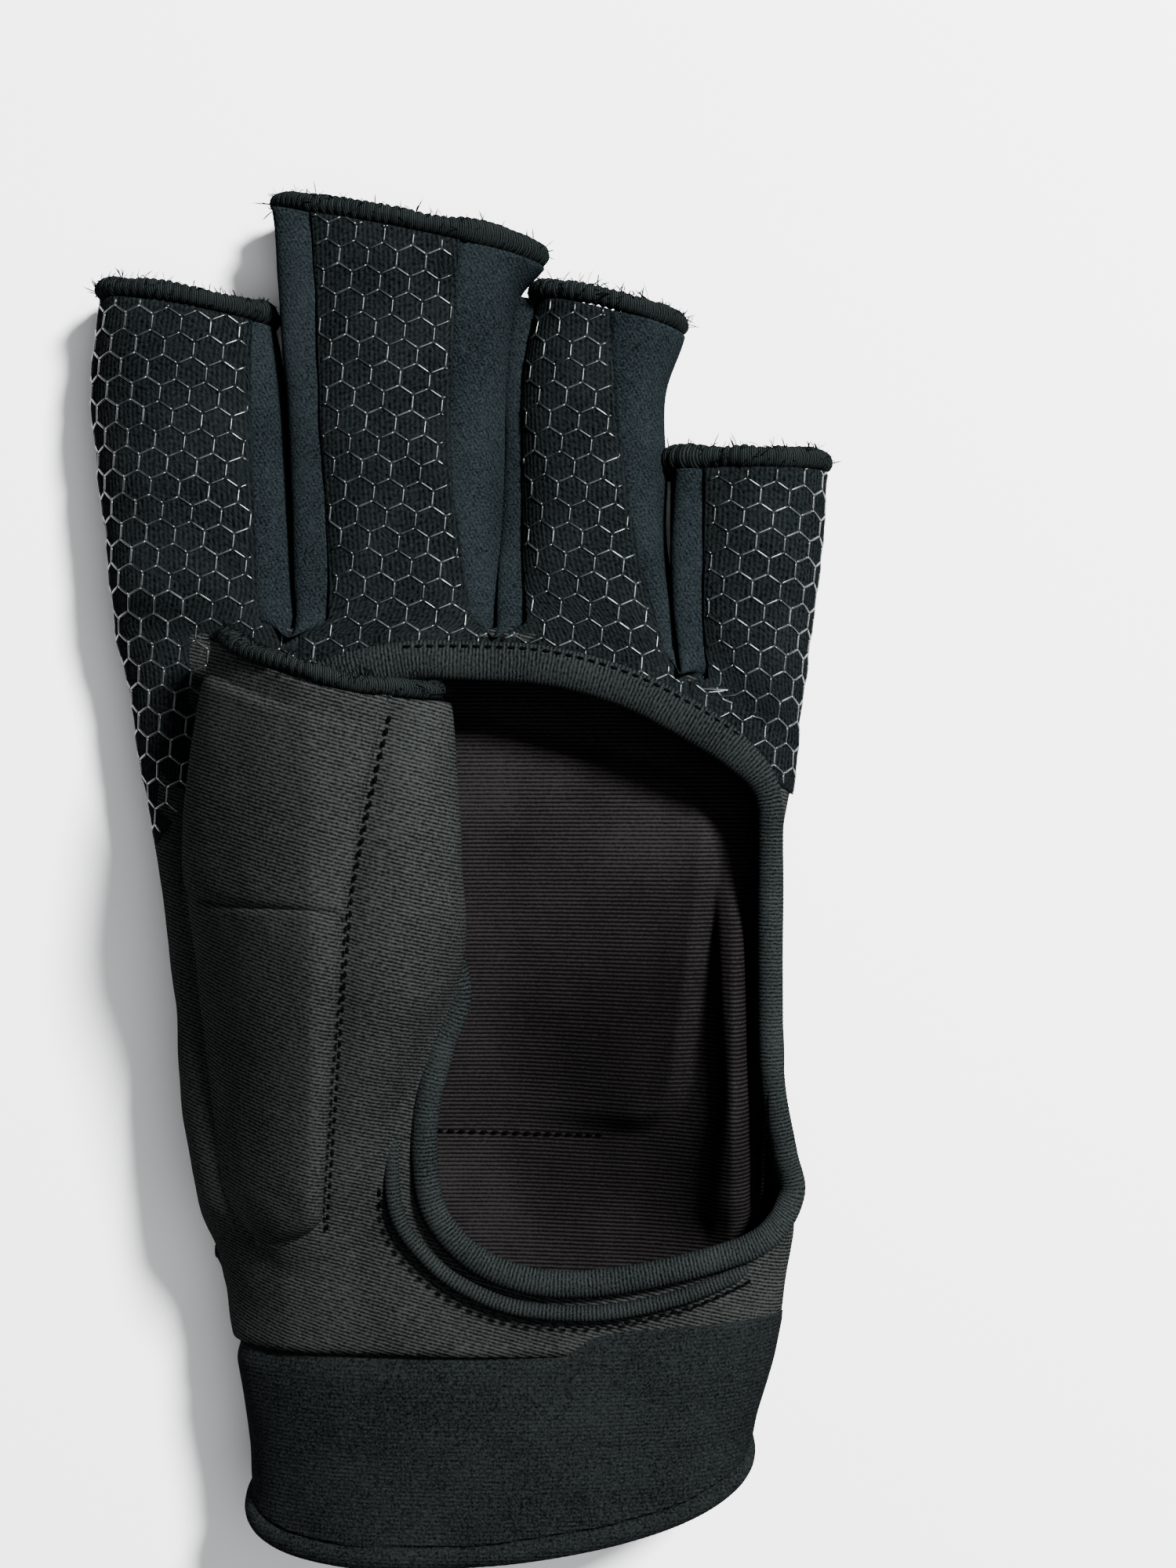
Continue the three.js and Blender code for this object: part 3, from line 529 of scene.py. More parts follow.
def knuckleCut(x):  # y where the padded cloth ends and the fingers begin
    return knuckle["y"] - cuts["knuckleGap"] - knuckleDrop(x)


def mergeTubes(piece):  # hand and thumb become one smooth skin
    handPoints, handFaces = plugMesh(handRows, handPlug)
    thumbPoints, thumbFaces = plugMesh(thumbRows, thumbPlug)
    shift = len(handPoints)
    piece.data.from_pydata((np.concatenate([handPoints, thumbPoints]) * mm).tolist(), [],
                           handFaces + [tuple(shift + v for v in face) for face in thumbFaces])
    merge = piece.modifiers.new("merge", "REMESH")
    merge.mode = "VOXEL"
    merge.voxel_size = shell["voxel"] * mm
    soften = piece.modifiers.new("soften", "SMOOTH")
    soften.iterations = shell["smoothing"]
    soften.factor = 0.5
    made = bpy.data.meshes.new_from_object(piece.evaluated_get(bpy.context.evaluated_depsgraph_get()))
    piece.modifiers.clear()
    piece.data = made


def cutOpenings(shape):  # palm, wrist, finger side and the thumb's end
    x, y, z = np.array([face.calc_center_median()[:] for face in shape.faces]).T / mm
    outline = smoothRoute(onHand(bindingPath, 0), True, 240)[0][:, :2]
    nearHand = np.abs(z - surfaceZ(handRows, x, y)) < cuts["palmReach"]
    palm = insideOutline(outline, x, y) & nearHand & (z > cuts["palmAbove"])
    fingerSide = (z < cuts["handTop"]) & (y > knuckleCut(x)) & (y > 12)
    thumbTip = (z > cuts["thumbUnder"]) & (y > thumbEnd(x)) & (y > 20)
    isCut = palm | (y < cuts["wrist"]) | fingerSide | thumbTip
    gone = [face for face, cut in zip(list(shape.faces), isCut) if cut]
    bmesh.ops.delete(shape, geom=gone, context="FACES")


def keepLargestPart(shape):
    parts = []
    unseen = set(shape.verts)
    while unseen:
        front = [unseen.pop()]
        part = list(front)
        while front:
            for edge in front.pop().link_edges:
                for vert in edge.verts:
                    if vert in unseen:
                        unseen.remove(vert)
                        front.append(vert)
                        part.append(vert)
        parts.append(part)
    parts.sort(key=len, reverse=True)
    bmesh.ops.delete(shape, geom=[v for part in parts[1:] for v in part], context="VERTS")


def squareUpEnds(shape):  # ragged cut edges are drawn onto the cutting lines
    for vert in shape.verts:
        if not vert.is_boundary:
            continue
        x, y, z = (value / mm for value in vert.co)
        if y < cuts["wrist"] + 1.5:
            vert.co.y = cuts["wrist"] * mm
        elif z < cuts["handTop"] and y > 14 and abs(y - knuckleCut(x)) < cuts["snap"]:
            vert.co.y = float(knuckleCut(x)) * mm
        elif abs(y - thumbEnd(x)) < cuts["snap"]:
            vert.co.y = thumbEnd(x) * mm


def moveVerts(shape, points):
    for vert, point in zip(shape.verts, points):
        vert.co = Vector(point) * mm
    shape.normal_update()


def sculptSkin(shape):
    points = np.array([vert.co[:] for vert in shape.verts]) / mm
    edges = np.array([[vert.index for vert in edge.verts] for edge in shape.edges])
    x, y, z = points.T
    free = np.array([not vert.is_boundary for vert in shape.verts])
    # the thumb's root flows into the palm
    root = ease(-24, -16, x) * (1 - ease(3, 9, x)) * ease(-68, -58, y) * (1 - ease(-30, -12, y))
    points = relax(points, edges, root * (z > 14) * free, shell["rootRounds"])
    moveVerts(shape, points)
    normals = np.array([vert.normal[:] for vert in shape.verts])
    x, y, z = points.T
    # the thumb's side turns down above the wrist
    beside = np.maximum(0, shell["turnsDownAt"] - x) ** 1.25 * ease(6, 16, z)
    points[:, 2] -= shell["turnsDownBy"] * beside * ease(-48, -58, y) * (1 - 0.6 * ease(-62, -69, y))
    rumple = softNoise(points, 16, 3.1) + 0.5 * softNoise(points, 7, 9.4)
    lift = shell["rumple"] * rumple * ease(0.5, 6, z)
    lift = lift - shell["seamDepth"] * np.exp(-((z - shell["seamHeight"]) / 0.9) ** 2) * (z < 18)
    onThumb = ease(18, 26, z) * (x < 6) * ease(-0.2, 0.1, normals[:, 2])
    points = points + normals * ((lift + thumbSeamLift(x, y) * onThumb) * free)[:, None]
    points[:, 2] = np.maximum(points[:, 2], 0)
    moveVerts(shape, points)


def makeShell():
    piece = bpy.data.objects.new("padded_shell", bpy.data.meshes.new("shell"))
    bpy.context.scene.collection.objects.link(piece)
    mergeTubes(piece)
    shape = bmesh.new()
    shape.from_mesh(piece.data)
    cutOpenings(shape)
    keepLargestPart(shape)
    squareUpEnds(shape)
    shape.normal_update()
    shape.verts.index_update()
    sculptSkin(shape)
    shape.to_mesh(piece.data)
    shape.free()
    piece.data.polygons.foreach_set("use_smooth", [True] * len(piece.data.polygons))
    wall = piece.modifiers.new("wall", "SOLIDIFY")
    wall.thickness = shell["thickness"] * mm
    wall.offset = -1
    piece.data.materials.append(paddedKnit)
    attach(piece, "root")
    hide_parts("hand_back", "palm_and_thumb")


makeShell()
print("padded shell made")

# lining with the foam island that is sewn inside the back
lining = {"inset": 2.75, "thickness": 0.3, "low": -66, "high": 33, "climbsFrom": 4}
island = {"left": -26, "right": 40.4, "wrist": -40.5, "fingers": 24, "corner": 9, "height": 3.0,
          "edge": 4.2, "slant": 0.28, "lean": 0.14}
liningFolds = [  # upright folds beside the right wall, between two y
    {"x": 41.0, "leftWidth": 2.2, "widens": 1.6, "rightWidth": 2.3, "height": 3.2, "squareness": 8,
     "from": -58, "to": 0},
    {"x": 44.8, "leftWidth": 0.8, "widens": 0, "rightWidth": 0.8, "height": 8.5, "squareness": 2.4,
     "from": -55, "to": -6},
]


def islandHeight(x, y):
    # distance inside a rounded block whose finger end slants down and whose right side leans
    top = island["fingers"] - island["slant"] * np.maximum(0, x - 4)
    right = island["right"] + island["lean"] * np.minimum(0, y - 5)
    midX, midY = (island["left"] + right) / 2, (top + island["wrist"]) / 2
    halfX, halfY = (right - island["left"]) / 2, (top - island["wrist"]) / 2
    qx, qy = np.abs(x - midX) - halfX + island["corner"], np.abs(y - midY) - halfY + island["corner"]
    outside = np.hypot(np.maximum(qx, 0), np.maximum(qy, 0)) + np.minimum(np.maximum(qx, qy), 0)
    flatter = 0.9 * (1 - ease(8, 30, x)) * (1 - ease(-42, 0, y))  # its wrist edge hardly rises at the left
    return island["height"] * (1 - flatter) * ease(0, island["edge"], island["corner"] - outside)


def liningTilt(x, y):  # the lining climbs towards the little finger's side, most near the wrist
    steepness = 0.06 + 0.44 * (1 - ease(-24, 14, y)) * (0.4 + 0.6 * ease(-60, -36, y))
    return steepness * (np.hypot(np.maximum(0, x - lining["climbsFrom"]), 8) - 8)


def foldHeight(fold, x, y):
    away = x - fold["x"] - 0.5 * np.sin(y / 9)
    nearWrist = 1 - ease(-46, -30, y)  # there the folds are lower and wider
    width = np.where(away < 0, fold["leftWidth"] + fold["widens"] * nearWrist, fold["rightWidth"])
    reach = ease(fold["from"], fold["from"] + 10, y) * (1 - ease(fold["to"] - 14, fold["to"], y))
    height = fold["height"] * (1 - 0.2 * nearWrist)
    return height * np.exp(-np.abs(away / width) ** fold["squareness"]) * reach


def makeLining():
    ys = np.linspace(lining["low"], lining["high"], 170)[:, None]
    angles = np.radians(np.linspace(172, 368, 230))[None, :]
    row = rowAt(handRows, ys)
    points = ovalPoint(row, angles, lining["inset"])
    x, y = points[..., 0], points[..., 1]
    rise = islandHeight(x, y) + liningTilt(x, y) * (1 - ease(40, 47, x))
    for fold in liningFolds:
        rise = rise + foldHeight(fold, x, y)
    points[..., 2] += rise + 0.4 * softNoise(points, 12, 5.5) + 0.12 * softNoise(points, 5, 1.1)
    under = points.copy()
    under[..., 2] -= lining["thickness"]
    under[..., 2] = np.minimum(under[..., 2], np.maximum(2.55, ovalPoint(row, angles, 2.6)[..., 2]))
    piece = thickSheet("lining_and_back_pad", points, under, liningKnit, ["back_pad"])


makeLining()
print("lining made")

# foam pads round the thumb
thumbPads = {
    "thumb_pad_upper": {"low": -2.6, "high": 23.0, "wristEnd": 2.2, "sinks": 0, "corner": 0},
    "thumb_pad_lower": {"low": -51.0, "high": -3.4, "wristEnd": 8.0, "sinks": 1.2, "corner": 7.0},
}
# shared by both pads: how high they puff up, and over how many mm each edge falls
padForm = {"puff": 1.25, "lean": -3.2, "across": 24, "seam": 3.0, "fingerEnd": 1.7, "outer": 7.0,
           "outerAngle": math.radians(172)}


def makeThumbPad(name, pad):
    u = np.linspace(0, 1, 90)[:, None]
    v = np.linspace(0, 1, 80)[None, :]
    y = pad["low"] + (pad["high"] - pad["low"]) * u
    row = rowAt(thumbRows, y)
    start = angleOver(row, thumbSeamX(y) - 0.5 - pad["corner"] * (1 - ease(0, 0.14, u)) ** 2)
    angles = start + (padForm["outerAngle"] - start) * v
    # its lower edge slants down to the seam
    row["y"] = row["y"] + padForm["lean"] * (1 - v) * (1 - ease(0, 0.5, u))
    along, across = pad["high"] - pad["low"], padForm["across"]
    edge = 1.0
    for away, width in ((v * across, padForm["seam"]), ((1 - u) * along, padForm["fingerEnd"]),
                        (u * along, pad["wristEnd"]), ((1 - v) * across, padForm["outer"])):
        edge = edge * (1 - np.clip(1 - away / width, 0, 1) ** 2.2)
    rise = padForm["puff"] * edge - (0.45 + pad["sinks"] * (1 - ease(0, 0.12, u))) * (1 - edge)
    outer = ovalPoint(row, angles, -rise)
    wave = 0.22 * softNoise(outer, 9, 2.2) + 0.1 * softNoise(outer, 4, 5.2)
    outer = outer + wave[..., None] * gridNormals(outer) * edge[..., None]
    inner = ovalPoint(row, angles, 1.0)
    piece = thickSheet(f"{name}_cover", outer, inner, paddedKnit, [name])


for name, pad in thumbPads.items():
    makeThumbPad(name, pad)
print("thumb pads made")

# rolled edge of the palm, and the welt outside it
# tape and flatten: towards the fingers the binding opens out into a flat tape
binding = {"across": 1.95, "up": 1.9, "lift": 0.9, "ribPitch": 0.62, "ribHeight": 0.025, "tape": 1.0,
           "flatten": 0.4}
welt = {"across": 1.15, "up": 1.3, "lift": 0.9, "ribPitch": 0.62, "ribHeight": 0.02, "tape": 0,
        "flatten": 0}
ribSteps = 5  # mesh steps along each rib of a roll


def sidewaysAlong(route, closed):
    if closed:
        tangent = np.roll(route, -1, axis=0) - np.roll(route, 1, axis=0)
    else:
        tangent = np.gradient(route, axis=0)
    sideways = np.cross(tangent, [0, 0, 1.0])
    return sideways / np.linalg.norm(sideways, axis=1, keepdims=True)


def ribbedRoll(name, path, shape, closed, replaced):
    length = smoothRoute(onHand(path, shape["lift"]), closed, 400)[1]
    count = int(length / shape["ribPitch"] * ribSteps)
    route = smoothRoute(onHand(path, shape["lift"]), closed, count)[0]
    route[:, 1] += 0.5 * shape["tape"] * ease(8, 22, route[:, 1])
    sideways, upward = sidewaysAlong(route, closed), np.tile([0, 0, 1.0], (count, 1))
    slack = softNoise(route, 14, 1.7)[:, None]
    opened = (ease(8, 22, route[:, 1]) * ease(-26, -18, route[:, 0]))[:, None]

    def sizes(t, turn):
        rib = shape["ribHeight"] * np.sin(tau * t / ribSteps + 0.9 * np.sin(turn))
        end = 1 if closed else np.sqrt(np.clip(np.minimum(t, count - 1 - t) / 18, 0, 1))
        grow = 1 + 0.06 * slack
        across = shape["across"] + shape["tape"] * opened
        up = shape["up"] - shape["flatten"] * opened
        return ((across * grow + rib) * np.cos(turn) * end, (up * grow + rib) * np.sin(turn) * end)

    rollPiece(name, route, sideways, upward, sizes, bindingKnit, replaced, closed)


ribbedRoll("palm_binding_roll", bindingPath, binding, True, ["palm_binding"])
ribbedRoll("palm_binding_welt_roll", weltPath, welt, False, ["palm_binding_welt"])
print("palm binding made")

# wristband and its hem
wristband = {"thickness": 2.2, "rumple": 0.55, "seamRise": 3.4, "riseFrom": 12, "riseTo": 26,
             "overlap": 1.3, "tuckDepth": 0.9, "tuckReach": 1.3}
wristHem = {"across": 1.9, "along": 1.9, "ribPitch": 0.9, "ribHeight": 0.012, "inset": 1.1, "groove": 0.3,
            "grooveAt": 2.5, "grooveWidth": 0.16}


def makeWristband():
    ys = np.linspace(wristRows["y"][0], wristRows["y"][-1], 60)[:, None]
    angles = np.linspace(0, tau, 260, endpoint=False)[None, :]
    row = rowAt(wristRows, ys)
    outer = ovalPoint(row, angles)
    wave = softNoise(outer, 13, 6.3) + 0.4 * softNoise(outer, 5, 2.9)
    lift = wristband["rumple"] * wave * ease(-0.2, 4, outer[..., 2])
    upper = ease(wristband["riseFrom"], wristband["riseTo"], outer[..., 0]) * ease(8, 20, outer[..., 2])
    top = wristRows["y"][-1]
    grow = ease(-84, top, ys) * upper  # its seam is higher on the palm by the little finger
    # elsewhere its edge goes in under the palm's cloth
    tuck = np.exp(-((ys - top) / 0.8) ** 2) * (1 - upper)
    lift = lift + wristband["overlap"] * grow - wristband["tuckDepth"] * tuck
    outer = ovalPoint(row, angles, -lift)
    inner = ovalPoint(row, angles, wristband["thickness"])
    outer[..., 1] += wristband["tuckReach"] * tuck
    outer[..., 1] += wristband["seamRise"] * grow
    inner[..., 1] += wristband["seamRise"] * grow
    thickSheet("wristband_tube", outer, inner, bandKnit, ["wristband"], closeColumns=True)


makeWristband()


def hemLoop(rows, thickness, along, count):  # middle of a tube's end roll, and its outward direction
    row = rowAt(rows, rows["y"][-1])
    angles = np.linspace(0, tau, 1200, endpoint=False)
    loop = ovalPoint(row, angles, thickness / 2)
    steps = np.linalg.norm(np.roll(loop, -1, axis=0) - loop, axis=1)
    length = np.concatenate([[0], np.cumsum(steps)])
    even = np.interp(np.linspace(0, length[-1], count, endpoint=False), length, np.append(angles, tau))
    loop, skin = ovalPoint(row, even, thickness / 2), ovalPoint(row, even, thickness / 2 - 1)
    outward = skin - loop
    outward[:, 1] = 0
    outward /= np.maximum(np.linalg.norm(outward, axis=1, keepdims=True), 1e-9)
    return loop + np.array([0, along, 0]), outward, length[-1]


def makeWristHem():
    row = rowAt(wristRows, wristRows["y"][0])
    ring = ovalPoint(row, np.linspace(0, tau, 400))
    length = np.linalg.norm(np.diff(ring, axis=0), axis=1).sum()
    count = int(length / wristHem["ribPitch"] * ribSteps)
    angles = np.linspace(0, tau, count, endpoint=False)
    middle = ovalPoint(row, angles, wristHem["inset"])
    loop = middle - np.array([0, wristHem["along"] + 0.3, 0])
    outward = ovalPoint(row, angles, wristHem["inset"] - 1) - middle
    outward[:, 1] = 0
    outward /= np.maximum(np.linalg.norm(outward, axis=1, keepdims=True), 1e-9)
    slack = softNoise(loop, 12, 8.8)[:, None]

    def sizes(t, turn):
        rib = wristHem["ribHeight"] * np.sin(tau * t / ribSteps)
        fromGroove = (turn - wristHem["grooveAt"]) / wristHem["grooveWidth"]
        groove = wristHem["groove"] * np.exp(-fromGroove ** 2)
        return ((wristHem["across"] + 0.25 * slack + rib - groove) * np.cos(turn),
                (wristHem["along"] + 0.25 * slack + rib - groove) * np.sin(turn))

    down = np.tile([0, -1.0, 0], (count, 1))
    rollPiece("wrist_hem_roll", loop, outward, down, sizes, bandKnit, ["wrist_hem"])


makeWristHem()
print("wristband made")

# fingers: printed fronts, side strips and padded backs
fingers = {
    "index": {"rows": indexRows, "meetsLeft": -52.0, "meetsRight": -23.0, "outerLeft": True, "start": 0.0,
              "centre": -40.0},
    "middle": {"rows": middleRows, "meetsLeft": -23.0, "meetsRight": 6.4, "start": 29.0, "centre": -9.3},
    "ring": {"rows": ringRows, "meetsLeft": 6.4, "meetsRight": 34.0, "start": 29.0, "centre": 17.0},
    "little": {"rows": littleRows, "meetsLeft": 34.0, "meetsRight": 52.0, "outerRight": True, "start": 26.0,
               "centre": 45.0},
}
knit = {"front": 1.3, "back": 2.6, "strip": 1.3}  # thicknesses
# the printed fronts run down onto the palm, the index finger's in a tongue beside the thumb
fronts = {"onPalmTo": 34.5, "flareEnds": 37.0, "onFingerFrom": 42, "tongueFrom": 29, "tongueSlope": 0.85,
          "stands": 0.35, "step": 0.8}
dorsal = {"right": math.radians(-30), "left": math.radians(210)}  # where the back panels begin, as angles


def seamAngles(finger, row):
    right, left = angleOver(row, row["frontRight"]), angleOver(row, row["frontLeft"])
    if finger.get("outerRight"):
        right = np.full_like(right, dorsal["right"])
    if finger.get("outerLeft"):
        left = np.full_like(left, dorsal["left"])
    return right, left


def frontSheet(finger, ys, u, inset):
    # the finger's own oval above the knuckles, the hand's surface below them, blended between
    ys, u = np.asarray(ys, float)[:, None], np.asarray(u, float)[None, :]
    row = rowAt(finger["rows"], ys)
    right, left = seamAngles(finger, row)
    onFinger = ovalPoint(row, right + (left - right) * u, inset)
    hand = rowAt(handRows, np.minimum(ys, handRows["y"][-1]))
    hand["y"] = ys
    flare = 1 - ease(fronts["onPalmTo"], fronts["flareEnds"], ys)
    rightX = finger["meetsRight"] * flare + row["frontRight"] * (1 - flare)
    leftX = finger["meetsLeft"] * flare + row["frontLeft"] * (1 - flare)
    if finger.get("outerLeft"):
        rightX = rightX - np.maximum(0, fronts["tongueFrom"] - ys) * fronts["tongueSlope"]
    handRight = dorsal["right"] if finger.get("outerRight") else angleOver(hand, rightX)
    handLeft = dorsal["left"] if finger.get("outerLeft") else angleOver(hand, leftX)
    onPalm = ovalPoint(hand, handRight + (handLeft - handRight) * u, inset)
    blend = ease(fronts["onPalmTo"], fronts["onFingerFrom"], ys)[..., None]
    return onPalm * (1 - blend) + onFinger * blend


def makeFront(name, finger):
    top = finger["rows"]["y"][-1]
    ys = np.linspace(finger["start"], top, int((top - finger["start"]) / fronts["step"]))
    u = np.linspace(0, 1, 60 if name in ("index", "little") else 40)
    outer = frontSheet(finger, ys, u, -fronts["stands"])
    normals = gridNormals(outer)
    if normals[len(ys) // 2, len(u) // 2, 2] < 0:
        normals = -normals
    wave = 0.35 * softNoise(outer, 11, 4.0) + 0.18 * softNoise(outer, 4.5, 7.7)
    outer = outer + normals * wave[..., None]
    inner = outer - normals * knit["front"]
    inner[..., 2] = np.maximum(inner[..., 2], 0.2)
    thickSheet(f"{name}_front_panel", outer, inner, printedKnit, [f"{name}_front"])
    finger["skin"] = (ys, outer, normals)


hexNet = {"across": 4.35, "squash": 0.92, "tilt": -5.5, "line": 0.38, "height": 0.2, "margin": 0.5}
hexRidge = [(math.cos(a), math.sin(a)) for a in np.radians([205, 150, 115, 65, 30, -25])]  # low and rounded


def hexSegments(reach):
    # sides of pointy-top hexagons out to that reach: one upright and two slanted to each cell
    pitch, tilt = hexNet["across"], math.radians(hexNet["tilt"])
    side = pitch / math.sqrt(3)
    turn = np.array([[math.cos(tilt), -math.sin(tilt)], [math.sin(tilt), math.cos(tilt)]])
    count = int(reach / pitch) + 2
    for i in range(-count, count + 1):
        shift = pitch / 2 if i % 2 else 0
        for j in range(-count, count + 1):
            x, y = j * pitch + shift, i * 1.5 * side
            corner = (x + pitch / 2, y + side / 2)
            for start, end in (((x + pitch / 2, y - side / 2), corner), (corner, (x, y + side)),
                               (corner, (x + pitch, y + side))):
                yield [turn @ (point[0], point[1] * hexNet["squash"]) for point in (start, end)]


def cellAt(grid, i, j):  # value of a grid between its points
    i0, j0 = min(int(i), grid.shape[0] - 2), min(int(j), grid.shape[1] - 2)
    a, b = i - i0, j - j0
    return ((1 - a) * ((1 - b) * grid[i0, j0] + b * grid[i0, j0 + 1])
            + a * ((1 - b) * grid[i0 + 1, j0] + b * grid[i0 + 1, j0 + 1]))


def makeHexNet(name, finger):
    ys, outer, normals = finger["skin"]
    rows, columns = outer.shape[:2]
    across = arcLengths(outer, 1)
    for i in range(rows):  # measure each row from the finger's upright centre line
        xs = outer[i, :, 0]
        far = np.abs(xs - finger["centre"]) + np.where(normals[i, :, 2] > 0.05, 0, 100)
        near = np.argmin(far)
        across[i] += finger["centre"] - xs[near] - across[i, near]
    middleY = outer[rows // 2, columns // 2, 1]
    points, faces = [], []

    def spot(s, y):  # row and column of the sheet under a point of the flat pattern
        i = float(np.interp(y, outer[:, columns // 2, 1], np.arange(rows)))
        j = columns / 2
        for _ in range(6):
            i0 = min(int(i), rows - 2)
            row = across[i0] + (i - i0) * (across[i0 + 1] - across[i0])
            j = float(np.interp(s, row, np.arange(columns)))
            j0 = min(int(j), columns - 2)
            line = outer[:, j0, 1] + (j - j0) * (outer[:, j0 + 1, 1] - outer[:, j0, 1])
            i = float(np.interp(y, line, np.arange(rows)))
        inside = 0.02 < i < rows - 1.02 and hexNet["margin"] < s - cellAt(across, i, 0)
        return i, j, inside and cellAt(across, i, columns - 1) - s > hexNet["margin"]

    reach = max(np.ptp(outer[..., 1]), np.ptp(across)) * 0.75
    for start, end in hexSegments(reach):
        run = []
        for t in np.linspace(0, 1, 6):
            s, y = start * (1 - t) + end * t
            i, j, inside = spot(-s, y + middleY)
            if inside:
                run.append((cellAt(outer, i, j), cellAt(normals, i, j)))
            elif len(run) > 1:
                break
            else:
                run = []
        if len(run) < 2:
            continue
        centre, normal = np.array([p for p, _ in run]), np.array([n for _, n in run])
        along = np.gradient(centre, axis=0)
        side = np.cross(normal, along)
        side /= np.maximum(np.linalg.norm(side, axis=1, keepdims=True), 1e-9)
        base, width = len(points), len(hexRidge)
        for c, n, w in zip(centre, normal, side):
            points += [c + w * a * hexNet["line"] / 2 + n * h * hexNet["height"] for a, h in hexRidge]
        for i in range(len(centre) - 1):
            for j in range(width):
                k0, k1 = base + i * width + j, base + i * width + (j + 1) % width
                faces.append((k0, k1, k1 + width, k0 + width))
        last = base + (len(centre) - 1) * width
        faces.append(tuple(range(base, base + width)))
        faces.append(tuple(reversed(range(last, last + width))))
    meshPiece(f"{name}_hex_print", np.array(points), faces, siliconeLines)


backTuck = {"reach": 0.10, "depth": 1.4}  # how far its edge goes under its neighbours, as angle and mm


def makeBack(name, finger):
    rows = finger["rows"]
    ys = np.linspace(rows["y"][0], rows["y"][-1], 50)[:, None]
    v = np.linspace(0, 1, 60)[None, :]
    low, high = dorsal["left"] - backTuck["reach"], dorsal["right"] + tau + backTuck["reach"]
    angles = low + (high - low) * v
    tuck = 1 - ease(0, 0.1, np.minimum(v, 1 - v))
    outer = ovalPoint(rowAt(rows, ys), angles, backTuck["depth"] * tuck)
    inner = ovalPoint(rowAt(rows, ys), angles, knit["back"])
    piece = thickSheet(f"{name}_back_panel", outer, inner, sideKnit, [f"{name}_back"])


# roll is the puffed roll beside each seam, lip the small loop at the bottom of the gap between two fingers
strip = {"columns": 34, "steps": 70, "turn": 16, "turnDepth": 3.0, "startsAbove": 2.2, "bulge": 0.7,
         "roll": {"left": 2.0, "right": 0.4}, "lipReach": 1.0, "lipHeight": 3.2}


def makeSideStrip(leftName, rightName):
    def profiles(finger, side, inset):
        rows = finger["rows"]
        ys = np.linspace(rows["y"][0] + strip["startsAbove"], rows["y"][-1], strip["steps"])[:, None]
        row = rowAt(rows, ys)
        right, left = seamAngles(finger, row)
        front = right if side == "right" else left
        v = np.linspace(0, 1, strip["columns"])[None, :]
        bulge = strip["bulge"] * np.sin(np.pi * v) ** 0.6 - 0.25 * (1 - ease(0, 0.1, v))
        wobble = 1 + 0.25 * np.sin(ys / 6.5 + 1.3)
        bulge = bulge + strip["roll"][side] * np.exp(-((v - 0.22) / 0.15) ** 2) * wobble
        return ovalPoint(row, front + (dorsal[side] - front) * v, inset - bulge * (inset < 0.5))

    def whole(inset):
        down = profiles(fingers[leftName], "right", inset)[::-1]
        up = profiles(fingers[rightName], "left", inset)
        t = np.linspace(0, 1, strip["turn"] + 2)[1:-1, None, None]
        turn = down[-1:] * (1 + np.cos(np.pi * t)) / 2 + up[:1] * (1 - np.cos(np.pi * t)) / 2
        turn[..., 1] -= ((strip["turnDepth"] + inset) * np.sin(np.pi * t))[..., 0]
        v = np.linspace(0, 1, strip["columns"])[None, :]
        lip = np.exp(-((v - 0.16) / 0.12) ** 2) * np.sin(np.pi * t[..., 0])
        turn[..., 1] -= strip["lipReach"] * lip
        turn[..., 2] += strip["lipHeight"] * lip
        return np.concatenate([down, turn, up])

    outer = whole(0.0)
    normals = gridNormals(outer)
    outer = outer + normals * (0.25 * softNoise(outer, 8, 3.3))[..., None]
    node = f"side_strip_{leftName}_{rightName}"
    thickSheet(f"{node}_knit", outer, whole(knit["strip"]), sideKnit, [node])


# overlocked ends: dense wraps of thread over a roll, with loose fibres
overlock = {"wrapPitch": 1.15, "wrapSteps": 8, "wrapHeight": 0.26, "fuzz": 260, "wander": 0.6}
# thick: where the thread is bunched up, as x, width and amount; frays: mm that the left end sticks out
hems = {
    "index": {"rows": indexRows, "cloth": knit["front"], "across": 1.6, "along": 1.5,
              "thick": (-28, 2.5, 0.3)},
    "middle": {"rows": middleRows, "cloth": knit["front"], "across": 1.6, "along": 1.5,
               "thick": (5, 6, 0.35)},
    "ring": {"rows": ringRows, "cloth": knit["front"], "across": 1.6, "along": 1.5},
    "little": {"rows": littleRows, "cloth": knit["front"], "across": 1.7, "along": 1.6, "frays": 2.6,
               "thick": (33, 3.5, 0.4)},
    "thumb": {"rows": thumbRows, "cloth": shell["thickness"], "across": 1.5, "along": 1.3},
}


def looseFibres(name, hem, loop, outward, seed):
    random = np.random.default_rng(int(seed * 10))
    paths, radii = [], []
    for _ in range(overlock["fuzz"]):
        k = random.integers(len(loop))
        turn = random.uniform(-0.6, math.pi * 0.9)
        normal = outward[k] * math.cos(turn) + np.array([0, 1.0, 0]) * math.sin(turn)
        root = loop[k] + normal * (min(hem["across"], hem["along"]) - 0.15)
        drift = random.normal(0, 1, 3) * 0.9
        reach = random.uniform(0.4, 1.2) * (2.2 if random.random() < 0.05 else 1)
        t = np.linspace(0, 1, 6)[:, None]
        path = root + normal * reach * t + drift * t**2 * 0.8
        path[:, 2] = np.maximum(path[:, 2], 0.1)
        paths.append(path)
        radii.append(random.uniform(0.04, 0.1))
    threadPieces(f"{name}_loose_fibres", paths, radii, overlockThread, sides=4)


